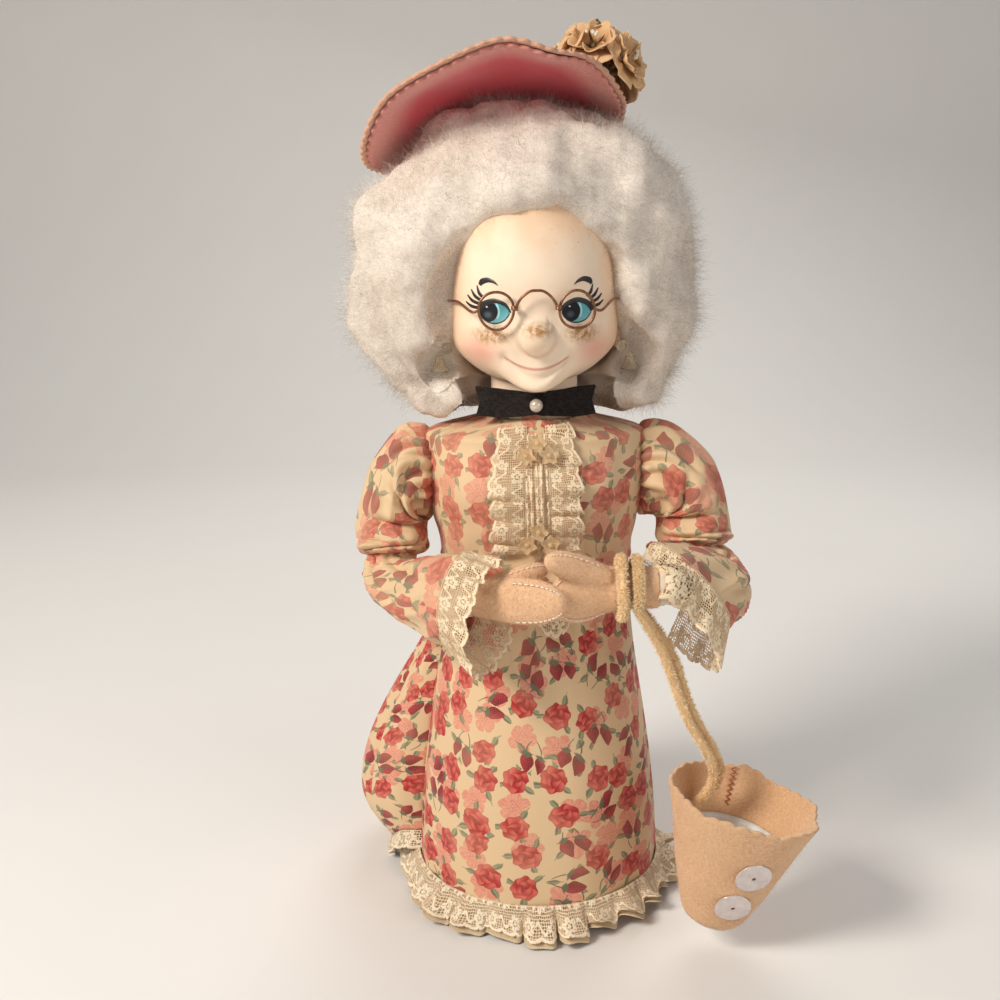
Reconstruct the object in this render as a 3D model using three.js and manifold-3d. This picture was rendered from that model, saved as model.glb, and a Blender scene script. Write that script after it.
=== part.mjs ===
// A doll in a printed dress, built over a glass bottle. Millimetres, +Z up, front towards -Y.
// The origin is the middle of the bottle's base. The doll's right side is at -X.
import * as THREE from 'three';
import { mergeVertices } from 'three/addons/utils/BufferGeometryUtils.js';
import Module from 'manifold-3d';

const wasm = await Module();
wasm.setup();

// Fits and sheet thicknesses
const GAP = 0.4; // air left between neighbouring pieces
const CLOTH = 0.8; // printed cotton
const FELT = 1.6; // craft felt
const LACE = 0.8; // lace and ribbon
const CARD = 1; // card of the skirt form
const SEAT = 0.8; // trimmings off a curved cloth

// Bottle and stopper
const BOTTLE_RADIUS = 36.5;
const BOTTLE_HEIGHT = 276;
const BOTTLE_WALL = 3;
const BOTTLE_BASE = 5;
const BOTTLE_HEEL = 4;
const BOTTLE_NECK_LENGTH = 62;
const BOTTLE_SHOULDER_LENGTH = 42;
const BOTTLE_NECK_RADIUS = 14.2;
const BOTTLE_LIP_PROUD = 1;
const BOTTLE_LIP_HEIGHT = 9;
const STOPPER_DEPTH = 16;
const STOPPER_PROUD = 4;

// Skirt, hem and bustle
const WAIST_DROP = 22; // waist below the bottle's shoulder
const HEM_FLARE = 14; // how far the card form spreads from waist to hem
const HEM_LIFT = 2.5;
const RUFFLE_HEIGHT = 11;
const RUFFLE_FLARE = 4.4;
const RUFFLE_WAVE = 1.8;
const RUFFLE_FOLDS = 18;
const RUFFLE_LIFT = 0.6;
const HEM_LACE_HEIGHT = 12;
const HEM_LACE_SPREAD = 1.2; // how far the lace stands off the ruffle at its edge
const BUSTLE_DROP = 18; // bustle's gathered top below the waist
const BUSTLE_LIFT = 9;
const BUSTLE_BULGE = 36;
const BUSTLE_START = 186; // degrees from +X, the doll's right side
const BUSTLE_SPAN = 162; // degrees round the back
const BUSTLE_FOLDS = 9;
const BUSTLE_FOLD_DEPTH = 2;
const BUSTLE_LACE_WAVE = 1.2;

// Bodice, collar and front trimmings
const WAIST_EASE = 3; // bodice outside the bottle, at the waist
const CHEST_SIDE = 8.5; // and at the chest, sideways
const CHEST_FRONT = 4; // and at the chest, front and back
const CHEST_RISE = 36; // chest above the waist
const SHOULDER_SIDE = 9.5;
const SHOULDER_DEPTH = 31;
const SHOULDER_DROP = 9; // shoulder line below the bottle's neck
const NECK_EASE = 2.2; // collar outside the doll's neck
const COLLAR_HEIGHT = 11;
const BOW_HALF_WIDTH = 24;
const BOW_HALF_HEIGHT = 6;
const BOW_THICKNESS = 2.6;
const PEARL_RADIUS = 2.7;
const JABOT_LENGTH = 46;
const JABOT_HALF_WIDTH = 20;
const JABOT_COLUMN = 4.5; // half width of the pleated middle
const BEAD_RADIUS = 4.2; // petals of the bead clusters
const WAIST_LACE_LENGTH = 15;
const WAIST_LACE_HALF_WIDTH = 8;

// Arms, sleeves and mittens
const SHOULDER_AXIS_DROP = 17; // arm hinge below the shoulder line
const PUFF_HALF_HEIGHT = 18;
const PUFF_HALF_DEPTH = 19;
const ARM_RADIUS = 7;
const WIRE_RADIUS = 1;
const HAND_REACH = 19.5; // left wrist in front of the chest
const HAND_DROP = 34; // left wrist below the arm hinge
const LEFT_WRIST_X = 37.5;
const LEFT_WRIST_RADIUS = 8;
const LEFT_WRIST_LENGTH = 16;
const BAND_RADIUS = 2.6; // chenille ring on the wrist
const BAND_SPACING = 6.6;
const CUFF_LACE_DROP = 16;

// Head, spectacles and earrings
const NECK_WALL = 2.4;
const HEAD_RISE = 24; // middle of the face below the bottle's top
const HEAD_HALF_WIDTH = 34.5;
const HEAD_FRONT = 36;
const HEAD_BACK = 37;
const HEAD_CROWN = 60;
const HEAD_JAW = 25.5;
const HEAD_WALL = 3.5;
const NOSE_HEIGHT = 6;
const CHEEK_HEIGHT = 2.6;
const EAR_HALF_HEIGHT = 7.5;
const EYE_HALF_SPACING = 15.5;
const EYE_RISE = 6.5;
const LENS_HALF_WIDTH = 8.2;
const LENS_HALF_HEIGHT = 7.4;
const SPECTACLE_WIRE = 0.55;
const SPECTACLE_STANDOFF = 6.5;
const EARRING_BEAD_RADIUS = 2.2;
const EARRING_BELL_RADIUS = 4;
const EARRING_BELL_LENGTH = 6.5;

// Hair, hat and flowers
const HAIR_HALF_WIDTH = 73;
const HAIR_FRONT = 40;
const HAIR_BACK = 52;
const HAIR_UP = 66;
const HAIR_DOWN = 64;
const HAIR_RISE = 20; // hair's middle above the head's middle
const HAIR_SETBACK = 10;
const HAIR_LIFT = 4; // hair above the shoulders
const HAT_HALF_WIDTH = 57;
const HAT_HALF_DEPTH = 52;
const HAT_BEND = 22; // sideways droop of the brim
const HAT_DISH = 8; // front and back droop
const HAT_TILT = 24; // degrees, front edge raised
const HAT_ROLL = 9; // degrees, lower at the doll's right
const HAT_SHIFT = 14; // towards the doll's right
const HAT_SETBACK = 20;
const HAT_LINING_INSET = 2.5;
const FLOWER_RADIUS = 9;
const FLOWER_HEIGHT = 7;
const FLOWER_RISE = 36; // degrees, lean of the outer blossoms
const STEM_RADIUS = 1.1;
const STEM_LENGTH = 7;
const POSY_RADIUS = 6; // ball of bound stems
const LEAF_LENGTH = 13;

// Basket
const BASKET_FLOOR_GAP = 14;
const BASKET_BASE_RADIUS = 12;
const BASKET_MOUTH_RADIUS = 30;
const BASKET_HEIGHT = 52;
const BASKET_TILT = 13; // degrees, mouth leaning outwards
const BASKET_OUT = 32; // base beyond the wrist
const CUP_HEIGHT = 33;
const CUP_WALL = 0.8;
const BASE_DISC = 1.4;
const HANDLE_RADIUS = 2.5;
const SEQUIN_RADIUS = 7.2;
const SEQUIN_THICKNESS = 0.5;

const RAD = Math.PI / 180;
const TURN = 2 * Math.PI;
const point = (x, y, z) => new THREE.Vector3(x, y, z);
const smooth = (t) => t * t * (3 - 2 * t);

// Heights and radii that follow from the bottle
const NECK_Z = BOTTLE_HEIGHT - BOTTLE_NECK_LENGTH;
const SHOULDER_Z = NECK_Z - BOTTLE_SHOULDER_LENGTH;
const WAIST_Z = SHOULDER_Z - WAIST_DROP;
const LIP_RADIUS = BOTTLE_NECK_RADIUS + BOTTLE_LIP_PROUD;
const NECK_BORE = LIP_RADIUS + GAP;
const NECK_RADIUS = NECK_BORE + NECK_WALL;
const COLLAR_RADIUS = NECK_RADIUS + NECK_EASE + LACE;
const BODICE_TOP_Z = NECK_Z - 1;
const SHOULDER_LINE_Z = NECK_Z - SHOULDER_DROP;
const ARM_Z = SHOULDER_LINE_Z - SHOULDER_AXIS_DROP;
const ARMHOLE_X = BOTTLE_RADIUS + SHOULDER_SIDE + GAP;
const CHEST_Y = BOTTLE_RADIUS + CHEST_FRONT;
const HEAD_Z = BOTTLE_HEIGHT - HEAD_RISE;
const HEAD_Y = -3;

// BufferGeometry from corner points and triangles, with its faces turned outwards
function fromTriangles(points, triangles) {
  let volume = 0;
  for (const [a, b, c] of triangles) {
    volume += points[a].dot(point(0, 0, 0).crossVectors(points[b], points[c]));
  }
  const index = triangles.flatMap(([a, b, c]) => (volume > 0 ? [a, b, c] : [a, c, b]));
  const flat = points.flatMap((p) => p.toArray());
  const geometry = new THREE.BufferGeometry();
  geometry.setAttribute('position', new THREE.Float32BufferAttribute(flat, 3));
  geometry.setIndex(index);
  return geometry;
}

// A sheet of two faces, front(u, v) and back(u, v) for u and v from 0 to 1, joined round its edges.
// With wrap, the sheet closes on itself from u = 1 to u = 0.
function sheet(front, back, nu, nv, wrap = false) {
  const columns = wrap ? nu : nu + 1;
  const points = [];
  for (const face of [front, back]) {
    for (let i = 0; i < columns; i++) {
      for (let j = 0; j <= nv; j++) points.push(face(i / nu, j / nv));
    }
  }
  const at = (side, i, j) => (side * columns + (i % columns)) * (nv + 1) + j;
  const triangles = [];
  const quad = (a, b, c, d) => triangles.push([a, b, c], [a, c, d]);
  for (let i = 0; i < nu; i++) {
    for (let j = 0; j < nv; j++) {
      quad(at(0, i, j), at(0, i + 1, j), at(0, i + 1, j + 1), at(0, i, j + 1));
      quad(at(1, i, j), at(1, i, j + 1), at(1, i + 1, j + 1), at(1, i + 1, j));
    }
    quad(at(0, i, 0), at(1, i, 0), at(1, i + 1, 0), at(0, i + 1, 0));
    quad(at(0, i, nv), at(0, i + 1, nv), at(1, i + 1, nv), at(1, i, nv));
  }
  for (let j = 0; j < nv && !wrap; j++) {
    quad(at(0, 0, j), at(0, 0, j + 1), at(1, 0, j + 1), at(1, 0, j));
    quad(at(0, nu, j), at(1, nu, j), at(1, nu, j + 1), at(0, nu, j + 1));
  }
  return fromTriangles(points, triangles);
}

// A body through rings of points, with a fan over each end
function loft(rings) {
  const n = rings[0].length;
  const points = rings.flat();
  const middle = (ring) => ring.reduce((sum, p) => sum.add(p), point(0, 0, 0)).divideScalar(n);
  const first = points.push(middle(rings[0])) - 1;
  const last = points.push(middle(rings[rings.length - 1])) - 1;
  const top = (rings.length - 1) * n;
  const triangles = [];
  for (let i = 0; i < n; i++) {
    const k = (i + 1) % n;
    for (let j = 0; j < top; j += n) {
      triangles.push([j + i, j + k, j + n + k], [j + i, j + n + k, j + n + i]);
    }
    triangles.push([first, k, i], [last, top + i, top + k]);
  }
  return fromTriangles(points, triangles);
}

// n points of a ring given by a function of the turn from 0 to 1
const ringOf = (n, place) => Array.from({ length: n }, (_, i) => place(i / n));

// A turned body: profile points are [radius, height], from the axis back to the axis
function turned(profile, segments) {
  const outline = profile.map(([r, z]) => new THREE.Vector2(r, z));
  return new THREE.LatheGeometry(outline, segments).rotateX(Math.PI / 2);
}

// A round wire along a smooth curve through points
function wire(points, radius, sides, steps) {
  const corners = ringOf(sides, (t) => [Math.cos(t * TURN) * radius, Math.sin(t * TURN) * radius]);
  const shape = new THREE.Shape(corners.map(([x, y]) => new THREE.Vector2(x, y)));
  const path = new THREE.CatmullRomCurve3(points, false, 'centripetal');
  return new THREE.ExtrudeGeometry(shape, { steps, extrudePath: path, bevelEnabled: false });
}

// An ellipsoid with its own centre and half sizes
function ellipsoid(centre, half, around, rings) {
  const geometry = new THREE.SphereGeometry(1, around, rings).rotateX(Math.PI / 2);
  return geometry.scale(half.x, half.y, half.z).translate(centre.x, centre.y, centre.z);
}

// Geometry to solid for cutting and joining, and back
function solid(geometry) {
  const plain = geometry.clone();
  plain.deleteAttribute('normal');
  plain.deleteAttribute('uv');
  const merged = mergeVertices(plain, 1e-4);
  const corners = merged.index.array;
  const triVerts = [];
  for (let i = 0; i < corners.length; i += 3) {
    const [a, b, c] = [corners[i], corners[i + 1], corners[i + 2]];
    if (a !== b && b !== c && c !== a) triVerts.push(a, b, c);
  }
  const vertProperties = Float32Array.from(merged.attributes.position.array);
  const mesh = { numProp: 3, vertProperties, triVerts: Uint32Array.from(triVerts) };
  return new wasm.Manifold(new wasm.Mesh(mesh));
}

function geometryOf(body) {
  const mesh = body.getMesh();
  const geometry = new THREE.BufferGeometry();
  geometry.setAttribute('position', new THREE.BufferAttribute(mesh.vertProperties, 3));
  geometry.setIndex(new THREE.BufferAttribute(mesh.triVerts, 1));
  return geometry;
}

const cut = (body, ...tools) => {
  const left = tools.reduce((rest, tool) => rest.subtract(solid(tool)), solid(body));
  return geometryOf(left);
};
const join = (...bodies) => geometryOf(bodies.map(solid).reduce((whole, next) => whole.add(next)));

// Value at a height of a profile given as [height, value] stations, eased between neighbours
function eased(stations, z) {
  const next = stations.findIndex(([height]) => height >= z);
  if (next === 0) return stations[0][1];
  if (next < 0) return stations[stations.length - 1][1];
  const [z0, v0] = stations[next - 1];
  const [z1, v1] = stations[next];
  return v0 + (v1 - v0) * smooth((z - z0) / (z1 - z0));
}

const material = (color, roughness, metalness = 0) =>
  new THREE.MeshStandardMaterial({ color, roughness, metalness });
const doll = new THREE.Group();
function add(name, geometry, color, roughness, metalness) {
  const mesh = new THREE.Mesh(geometry, material(color, roughness, metalness));
  mesh.name = name;
  doll.add(mesh);
}

const PRINT = 0xd9b48a;
const LACE_COLOR = 0xeadcc0;
const FELT_PEACH = 0xe0ad85;
const CHENILLE = 0xf0e4c8;
const COPPER = 0x9a5a32;
const CLEAR_YELLOW = 0xe8cf7a;

// Bottle: straight body, curved shoulder, neck with a lip
const shoulderRadius = (t) =>
  BOTTLE_NECK_RADIUS + (BOTTLE_RADIUS - BOTTLE_NECK_RADIUS) * 0.5 * (1 + Math.cos(Math.PI * t));
function bottleRadius(z) {
  if (z <= SHOULDER_Z) return BOTTLE_RADIUS;
  if (z >= NECK_Z) return BOTTLE_NECK_RADIUS;
  return shoulderRadius((z - SHOULDER_Z) / BOTTLE_SHOULDER_LENGTH);
}
const SHOULDER_STEPS = 6;
const shoulder = Array.from({ length: SHOULDER_STEPS + 1 }, (_, i) => i / SHOULDER_STEPS);
const shoulderAt = (inset) => (t) => [
  shoulderRadius(t) - inset,
  SHOULDER_Z + BOTTLE_SHOULDER_LENGTH * t,
];
const mouthRadius = BOTTLE_NECK_RADIUS - BOTTLE_WALL;
add('bottle', turned([
  [0, 0],
  [BOTTLE_RADIUS - BOTTLE_HEEL, 0],
  [BOTTLE_RADIUS - BOTTLE_HEEL * 0.3, BOTTLE_HEEL * 0.3],
  [BOTTLE_RADIUS, BOTTLE_HEEL],
  ...shoulder.map(shoulderAt(0)),
  [BOTTLE_NECK_RADIUS, BOTTLE_HEIGHT - BOTTLE_LIP_HEIGHT],
  [LIP_RADIUS, BOTTLE_HEIGHT - BOTTLE_LIP_HEIGHT],
  [LIP_RADIUS, BOTTLE_HEIGHT],
  [mouthRadius, BOTTLE_HEIGHT],
  ...shoulder.map(shoulderAt(BOTTLE_WALL)).reverse(),
  [BOTTLE_RADIUS - BOTTLE_WALL, BOTTLE_BASE],
  [0, BOTTLE_BASE],
], 20), 0x6f8f62, 0.1);
add('bottle_stopper', turned([
  [0, BOTTLE_HEIGHT - STOPPER_DEPTH],
  [mouthRadius - GAP, BOTTLE_HEIGHT - STOPPER_DEPTH],
  [mouthRadius - GAP, BOTTLE_HEIGHT + GAP],
  [LIP_RADIUS, BOTTLE_HEIGHT + GAP],
  [LIP_RADIUS, BOTTLE_HEIGHT + STOPPER_PROUD],
  [0, BOTTLE_HEIGHT + STOPPER_PROUD],
], 16), 0xb58a5a, 0.8);

// Card form and skirt: a soft bell from waist to hem
const formTop = BOTTLE_RADIUS + GAP + CARD;
const formRadius = (z) =>
  formTop + HEM_FLARE * (1 - smooth(Math.pow(Math.min(1, z / WAIST_Z), 1.25)));
const skirtRadius = (z) => formRadius(z) + GAP + CLOTH;
const onCircle = (turn, r, z) => point(r * Math.cos(turn * TURN), r * Math.sin(turn * TURN), z);
const SKIRT_SIDES = 32;
add('skirt_form', sheet(
  (u, v) => onCircle(u, formRadius(WAIST_Z * v), WAIST_Z * v),
  (u, v) => onCircle(u, formRadius(WAIST_Z * v) - CARD, WAIST_Z * v),
  SKIRT_SIDES, 4, true,
), 0xb9a98c, 0.9);
const skirtZ = (v) => HEM_LIFT + (WAIST_Z - HEM_LIFT) * v;
add('skirt', sheet(
  (u, v) => onCircle(u, skirtRadius(skirtZ(v)), skirtZ(v)),
  (u, v) => onCircle(u, skirtRadius(skirtZ(v)) - CLOTH, skirtZ(v)),
  SKIRT_SIDES, 4, true,
), PRINT, 0.9);

// Hem: a ribbon ruffle under a lace ruffle, both in the same folds
function hemSheet(height, standoff, spread) {
  const z = (v) => RUFFLE_LIFT + height * (1 - v);
  const radius = (u, v) => {
    const wave = RUFFLE_WAVE * (1 + Math.cos(u * TURN * RUFFLE_FOLDS));
    return skirtRadius(height) + GAP + standoff + v * (RUFFLE_FLARE + spread + wave);
  };
  return sheet(
    (u, v) => onCircle(u, radius(u, v) + LACE, z(v)),
    (u, v) => onCircle(u, radius(u, v), z(v)),
    RUFFLE_FOLDS * 3, 1, true,
  );
}
add('hem_ruffle', hemSheet(RUFFLE_HEIGHT, 0, 0), 0xcf9c6c, 0.8);
add('hem_lace', hemSheet(HEM_LACE_HEIGHT, GAP + LACE, HEM_LACE_SPREAD), LACE_COLOR, 0.9);

// Bustle: a gathered pouf round the back, fullest towards the doll's right
const bustleTop = WAIST_Z - BUSTLE_DROP;
const bustleZ = (v) => bustleTop + (BUSTLE_LIFT - bustleTop) * v;
const BELLY = 0.82; // height share at which the pouf is fullest
function bustleRadius(u, v) {
  const rise = Math.sin(0.5 * Math.PI * Math.pow(Math.min(v / BELLY, 1), 1.4));
  const tuck = v > BELLY ? 1 - 0.42 * Math.pow((v - BELLY) / (1 - BELLY), 2) : 1;
  const lobe = Math.sin(Math.PI * Math.pow(u, 0.62));
  const fold = BUSTLE_FOLD_DEPTH * (1 + Math.cos(u * TURN * BUSTLE_FOLDS)) * Math.sin(Math.PI * v);
  return skirtRadius(bustleZ(v)) + SEAT + BUSTLE_BULGE * rise * tuck * lobe + fold * lobe;
}
const bustleTurn = (u) => (BUSTLE_START - BUSTLE_SPAN * u) / 360;
const hemTop = RUFFLE_LIFT + HEM_LACE_HEIGHT;
const overHem = RUFFLE_FLARE + HEM_LACE_SPREAD + 2 * RUFFLE_WAVE + 2 * LACE + 2 * GAP;
const clearHem = (z) => (z < hemTop + 2 ? overHem : overHem * Math.max(0, 1 - (z - hemTop - 2) / 12));
const bustleAt = (u, v, out) => {
  const z = bustleZ(v);
  const floor = skirtRadius(z) + SEAT + clearHem(z);
  return onCircle(bustleTurn(u), Math.max(bustleRadius(u, v), floor) + out, z);
};
add('bustle', sheet(
  (u, v) => bustleAt(u, v, CLOTH),
  (u, v) => bustleAt(u, v, 0),
  BUSTLE_FOLDS * 3, 6,
), PRINT, 0.9);
const bustleLaceZ = (v) => RUFFLE_LIFT + (BUSTLE_LIFT - GAP - RUFFLE_LIFT) * (1 - v);
const bustleLaceAt = (u, v, out) => {
  const wave = BUSTLE_LACE_WAVE * v * (1 + Math.cos(u * TURN * BUSTLE_FOLDS * 2));
  const edge = bustleAt(u, 1, out + wave);
  return edge.setZ(bustleLaceZ(v));
};
add('bustle_lace', sheet(
  (u, v) => bustleLaceAt(u, v, LACE),
  (u, v) => bustleLaceAt(u, v, 0),
  BUSTLE_FOLDS * 4, 1,
), LACE_COLOR, 0.9);

// Bodice: oval shell over wadding, from the waist to the collar
const chestZ = WAIST_Z + CHEST_RISE;
const neckOpening = COLLAR_RADIUS + GAP + CLOTH;
const bodiceSide = [
  [WAIST_Z, BOTTLE_RADIUS + WAIST_EASE],
  [chestZ, BOTTLE_RADIUS + CHEST_SIDE],
  [SHOULDER_LINE_Z, BOTTLE_RADIUS + SHOULDER_SIDE],
  [BODICE_TOP_Z, neckOpening],
];
const bodiceFront = [
  [WAIST_Z, BOTTLE_RADIUS + WAIST_EASE],
  [chestZ, CHEST_Y],
  [SHOULDER_LINE_Z, SHOULDER_DEPTH],
  [BODICE_TOP_Z, neckOpening],
];
const bodiceAt = (turn, z, inset) => point(
  (eased(bodiceSide, z) - inset) * Math.cos(turn * TURN),
  (eased(bodiceFront, z) - inset) * Math.sin(turn * TURN),
  z,
);
const BODICE_SIDES = 24;
const bodiceZ = (v) => WAIST_Z + GAP + (BODICE_TOP_Z - WAIST_Z - GAP) * v;
add('bodice', sheet(
  (u, v) => bodiceAt(u, bodiceZ(v), 0),
  (u, v) => bodiceAt(u, bodiceZ(v), CLOTH),
  BODICE_SIDES, 8, true,
), PRINT, 0.9);
const battingLow = WAIST_Z + 2;
const battingHigh = SHOULDER_LINE_Z - 8;
const battingOuter = loft([0, 0.33, 0.67, 1].map((v) => {
  const z = battingLow + (battingHigh - battingLow) * v;
  return ringOf(BODICE_SIDES, (t) => bodiceAt(t, z, CLOTH + SEAT));
}));
add('bodice_batting', cut(battingOuter, turned([
  [0, WAIST_Z],
  [BOTTLE_RADIUS + GAP, WAIST_Z],
  ...shoulder.map(shoulderAt(-GAP)),
  [0, NECK_Z],
], BODICE_SIDES)), 0xf2efe6, 1);
const collarZ = BODICE_TOP_Z - 2;
add('collar', sheet(
  (u, v) => onCircle(u, COLLAR_RADIUS, collarZ + COLLAR_HEIGHT * v),
  (u, v) => onCircle(u, COLLAR_RADIUS - LACE, collarZ + COLLAR_HEIGHT * v),
  20, 1, true,
), PRINT, 0.9);

// Bow: a pinched felt strip against the collar, with a pearl
const bowZ = BODICE_TOP_Z + GAP + BOW_HALF_HEIGHT + 0.4;
const bowY = -(COLLAR_RADIUS + GAP);
const bowAt = (u, v, out) => {
  const s = 2 * u - 1;
  const half = BOW_HALF_HEIGHT * (0.78 + 0.22 * Math.min(1, 2.5 * s * s));
  return point(BOW_HALF_WIDTH * s, bowY - out + 3 * s * s, bowZ + half * (2 * v - 1));
};
add('bow_tie', sheet(
  (u, v) => bowAt(u, v, BOW_THICKNESS),
  (u, v) => bowAt(u, v, 0),
  12, 2,
), 0x1c1a1a, 0.95);
const pearlAt = point(0, bowY - BOW_THICKNESS - GAP - PEARL_RADIUS, bowZ);
const pearlHalf = point(PEARL_RADIUS, PEARL_RADIUS, PEARL_RADIUS);
add('bow_pearl', ellipsoid(pearlAt, pearlHalf, 10, 6), 0xe6e0d4, 0.25);

// Jabot: a pleated column with a lace ruffle at each side, lying on the bodice
const bodiceY = (x, z) => {
  const across = Math.min(0.98, Math.abs(x) / eased(bodiceSide, z));
  return -eased(bodiceFront, z) * Math.sqrt(1 - across * across);
};
const jabotTop = BODICE_TOP_Z - 4;
function jabotStrip(x0, x1, rippleAt, ripples) {
  const at = (u, v, out) => {
    const z = jabotTop - JABOT_LENGTH * v;
    const spread = 0.62 + 0.38 * Math.min(1, 3 * v);
    const x = (x0 + (x1 - x0) * u) * spread;
    const lift = rippleAt(u) * (1 + Math.sin(v * TURN * ripples));
    return point(x, bodiceY(x, z) - SEAT - lift - out, z);
  };
  return sheet((u, v) => at(u, v, LACE), (u, v) => at(u, v, 0), 3, 10);
}
const jabotEdge = JABOT_COLUMN + GAP;
add('jabot_centre', jabotStrip(-JABOT_COLUMN, JABOT_COLUMN, (u) => 0.6 * Math.sin(Math.PI * u), 2),
  LACE_COLOR, 0.9);
add('jabot_left', jabotStrip(jabotEdge, JABOT_HALF_WIDTH, (u) => 1.2 * u, 4), LACE_COLOR, 0.9);
add('jabot_right', jabotStrip(-JABOT_HALF_WIDTH, -jabotEdge, (u) => 1.2 * (1 - u), 4),
  LACE_COLOR, 0.9);

// Bead clusters: three clear petals pressed together, clear of the lace where it ripples up by lift
function beadCluster(z, lift) {
  const y = bodiceY(0, z) - SEAT - LACE - lift - GAP - BEAD_RADIUS * 0.7;
  const petal = (x, rise) => ellipsoid(
    point(x * BEAD_RADIUS, y, z + rise * BEAD_RADIUS),
    point(BEAD_RADIUS, BEAD_RADIUS * 0.7, BEAD_RADIUS), 8, 6,
  );
  return join(petal(-1.1, -0.3), petal(1.1, -0.3), petal(0, 0.9));
}
add('brooch_upper', beadCluster(jabotTop - 1.4 * BEAD_RADIUS, 1.2), CLEAR_YELLOW, 0.15);
add('brooch_lower', beadCluster(jabotTop - JABOT_LENGTH + 1.4 * BEAD_RADIUS, 0.6),
  CLEAR_YELLOW, 0.15);

// Lace scallop on the skirt, below the hands
const waistLaceAt = (u, v, out) => {
  const s = 2 * u - 1;
  const length = 2 + (WAIST_LACE_LENGTH - 2) * Math.sqrt(1 - 0.96 * s * s);
  const z = WAIST_Z - 1 - length * v;
  const x = WAIST_LACE_HALF_WIDTH * (1.1 + s);
  const r = skirtRadius(z) + SEAT + out;
  return point(x, -Math.sqrt(r * r - x * x), z);
};
add('waist_lace', sheet(
  (u, v) => waistLaceAt(u, v, LACE),
  (u, v) => waistLaceAt(u, v, 0),
  8, 3,
), LACE_COLOR, 0.9);

// Sleeves and arms are lofted through oval sections: centre, direction, outer side, two half sizes
const section = (centre, along, outer, halfOuter, halfAcross) =>
  ({ centre, along, outer, halfOuter, halfAcross });
function sectionRing({ centre, along, outer, halfOuter, halfAcross }, inset, n) {
  const axis = along.clone().normalize();
  const out = outer.clone().addScaledVector(axis, -outer.dot(axis)).normalize();
  const across = point(0, 0, 0).crossVectors(axis, out);
  return ringOf(n, (t) => centre.clone()
    .addScaledVector(out, (halfOuter - inset) * Math.cos(t * TURN))
    .addScaledVector(across, (halfAcross - inset) * Math.sin(t * TURN)));
}
const SLEEVE_SIDES = 12;
const oval = (sections, inset = 0) => loft(sections.map((s) => sectionRing(s, inset, SLEEVE_SIDES)));
// An open sleeve: the loft less the same loft made thinner and a little longer
function sleeve(sections) {
  const ends = sections.map((s) => ({ ...s, centre: s.centre.clone() }));
  const moved = (s, by) => s.centre.addScaledVector(s.along.clone().normalize(), by);
  moved(ends[0], -1);
  moved(ends[ends.length - 1], 1);
  return cut(oval(sections), oval(ends, CLOTH));
}

// Each arm's measures: side is -1 for the doll's right. Places are given from the arm hole outwards,
// forward of the chest and below the arm hinge.
const armPoint = (side, out, forward, drop) => point(side * (ARMHOLE_X + out), -forward, ARM_Z - drop);
const frontPoint = (x, reach, drop) => point(x, -(CHEST_Y + reach), ARM_Z - drop);
const bore = WIRE_RADIUS + 2 * GAP;

function buildArm({ name, side, puff, lower, armPath, mitten, wirePath }) {
  add(name + '_puff', sleeve(puff), PRINT, 0.9);
  add(name + '_lower_sleeve', sleeve(lower), PRINT, 0.9);
  const start = armPoint(side, -2, 0, 0);
  const end = wirePath[wirePath.length - 1];
  const beyond = end.clone().sub(wirePath[wirePath.length - 2]).setLength(1).add(end);
  const channel = wire([start, ...wirePath.slice(0, -1), beyond], bore, 6, 16);
  add(name + '_arm', cut(wire(armPath, ARM_RADIUS, 8, 12), channel), 0xe7d2b8, 1);
  add(name + '_arm_wire', wire(wirePath, WIRE_RADIUS, 6, 16), 0x8a8a88, 0.4, 1);
  add(name + '_mitten', cut(mitten, channel), FELT_PEACH, 0.95);
}

const puffSections = (side, out, drop) => [
  section(armPoint(side, 0, 0, 0), point(side, 0, 0), point(0, 0, 1),
    PUFF_HALF_HEIGHT, PUFF_HALF_DEPTH - 3),
  section(armPoint(side, 7, 0, 0), point(side, 0, -0.2), point(0, 0, 1),
    PUFF_HALF_HEIGHT, PUFF_HALF_DEPTH),
  section(armPoint(side, out - 4, 2, drop * 0.25), point(side, 0, -1), point(side, 0, 1),
    PUFF_HALF_HEIGHT - 3, PUFF_HALF_DEPTH),
  section(armPoint(side, out, 6, drop * 0.62), point(0, -0.2, -1), point(side, 0, 0),
    ARM_RADIUS + 6, PUFF_HALF_DEPTH - 3),
  section(armPoint(side, out - 0.5, 12, drop * 0.88), point(0, -0.3, -1), point(side, 0, 0),
    ARM_RADIUS + 5.6, ARM_RADIUS + 7.5),
  section(armPoint(side, out - 0.5, 14.5, drop), point(0, -0.4, -1), point(side, 0, 0),
    ARM_RADIUS + 5, ARM_RADIUS + 6),
];

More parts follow.
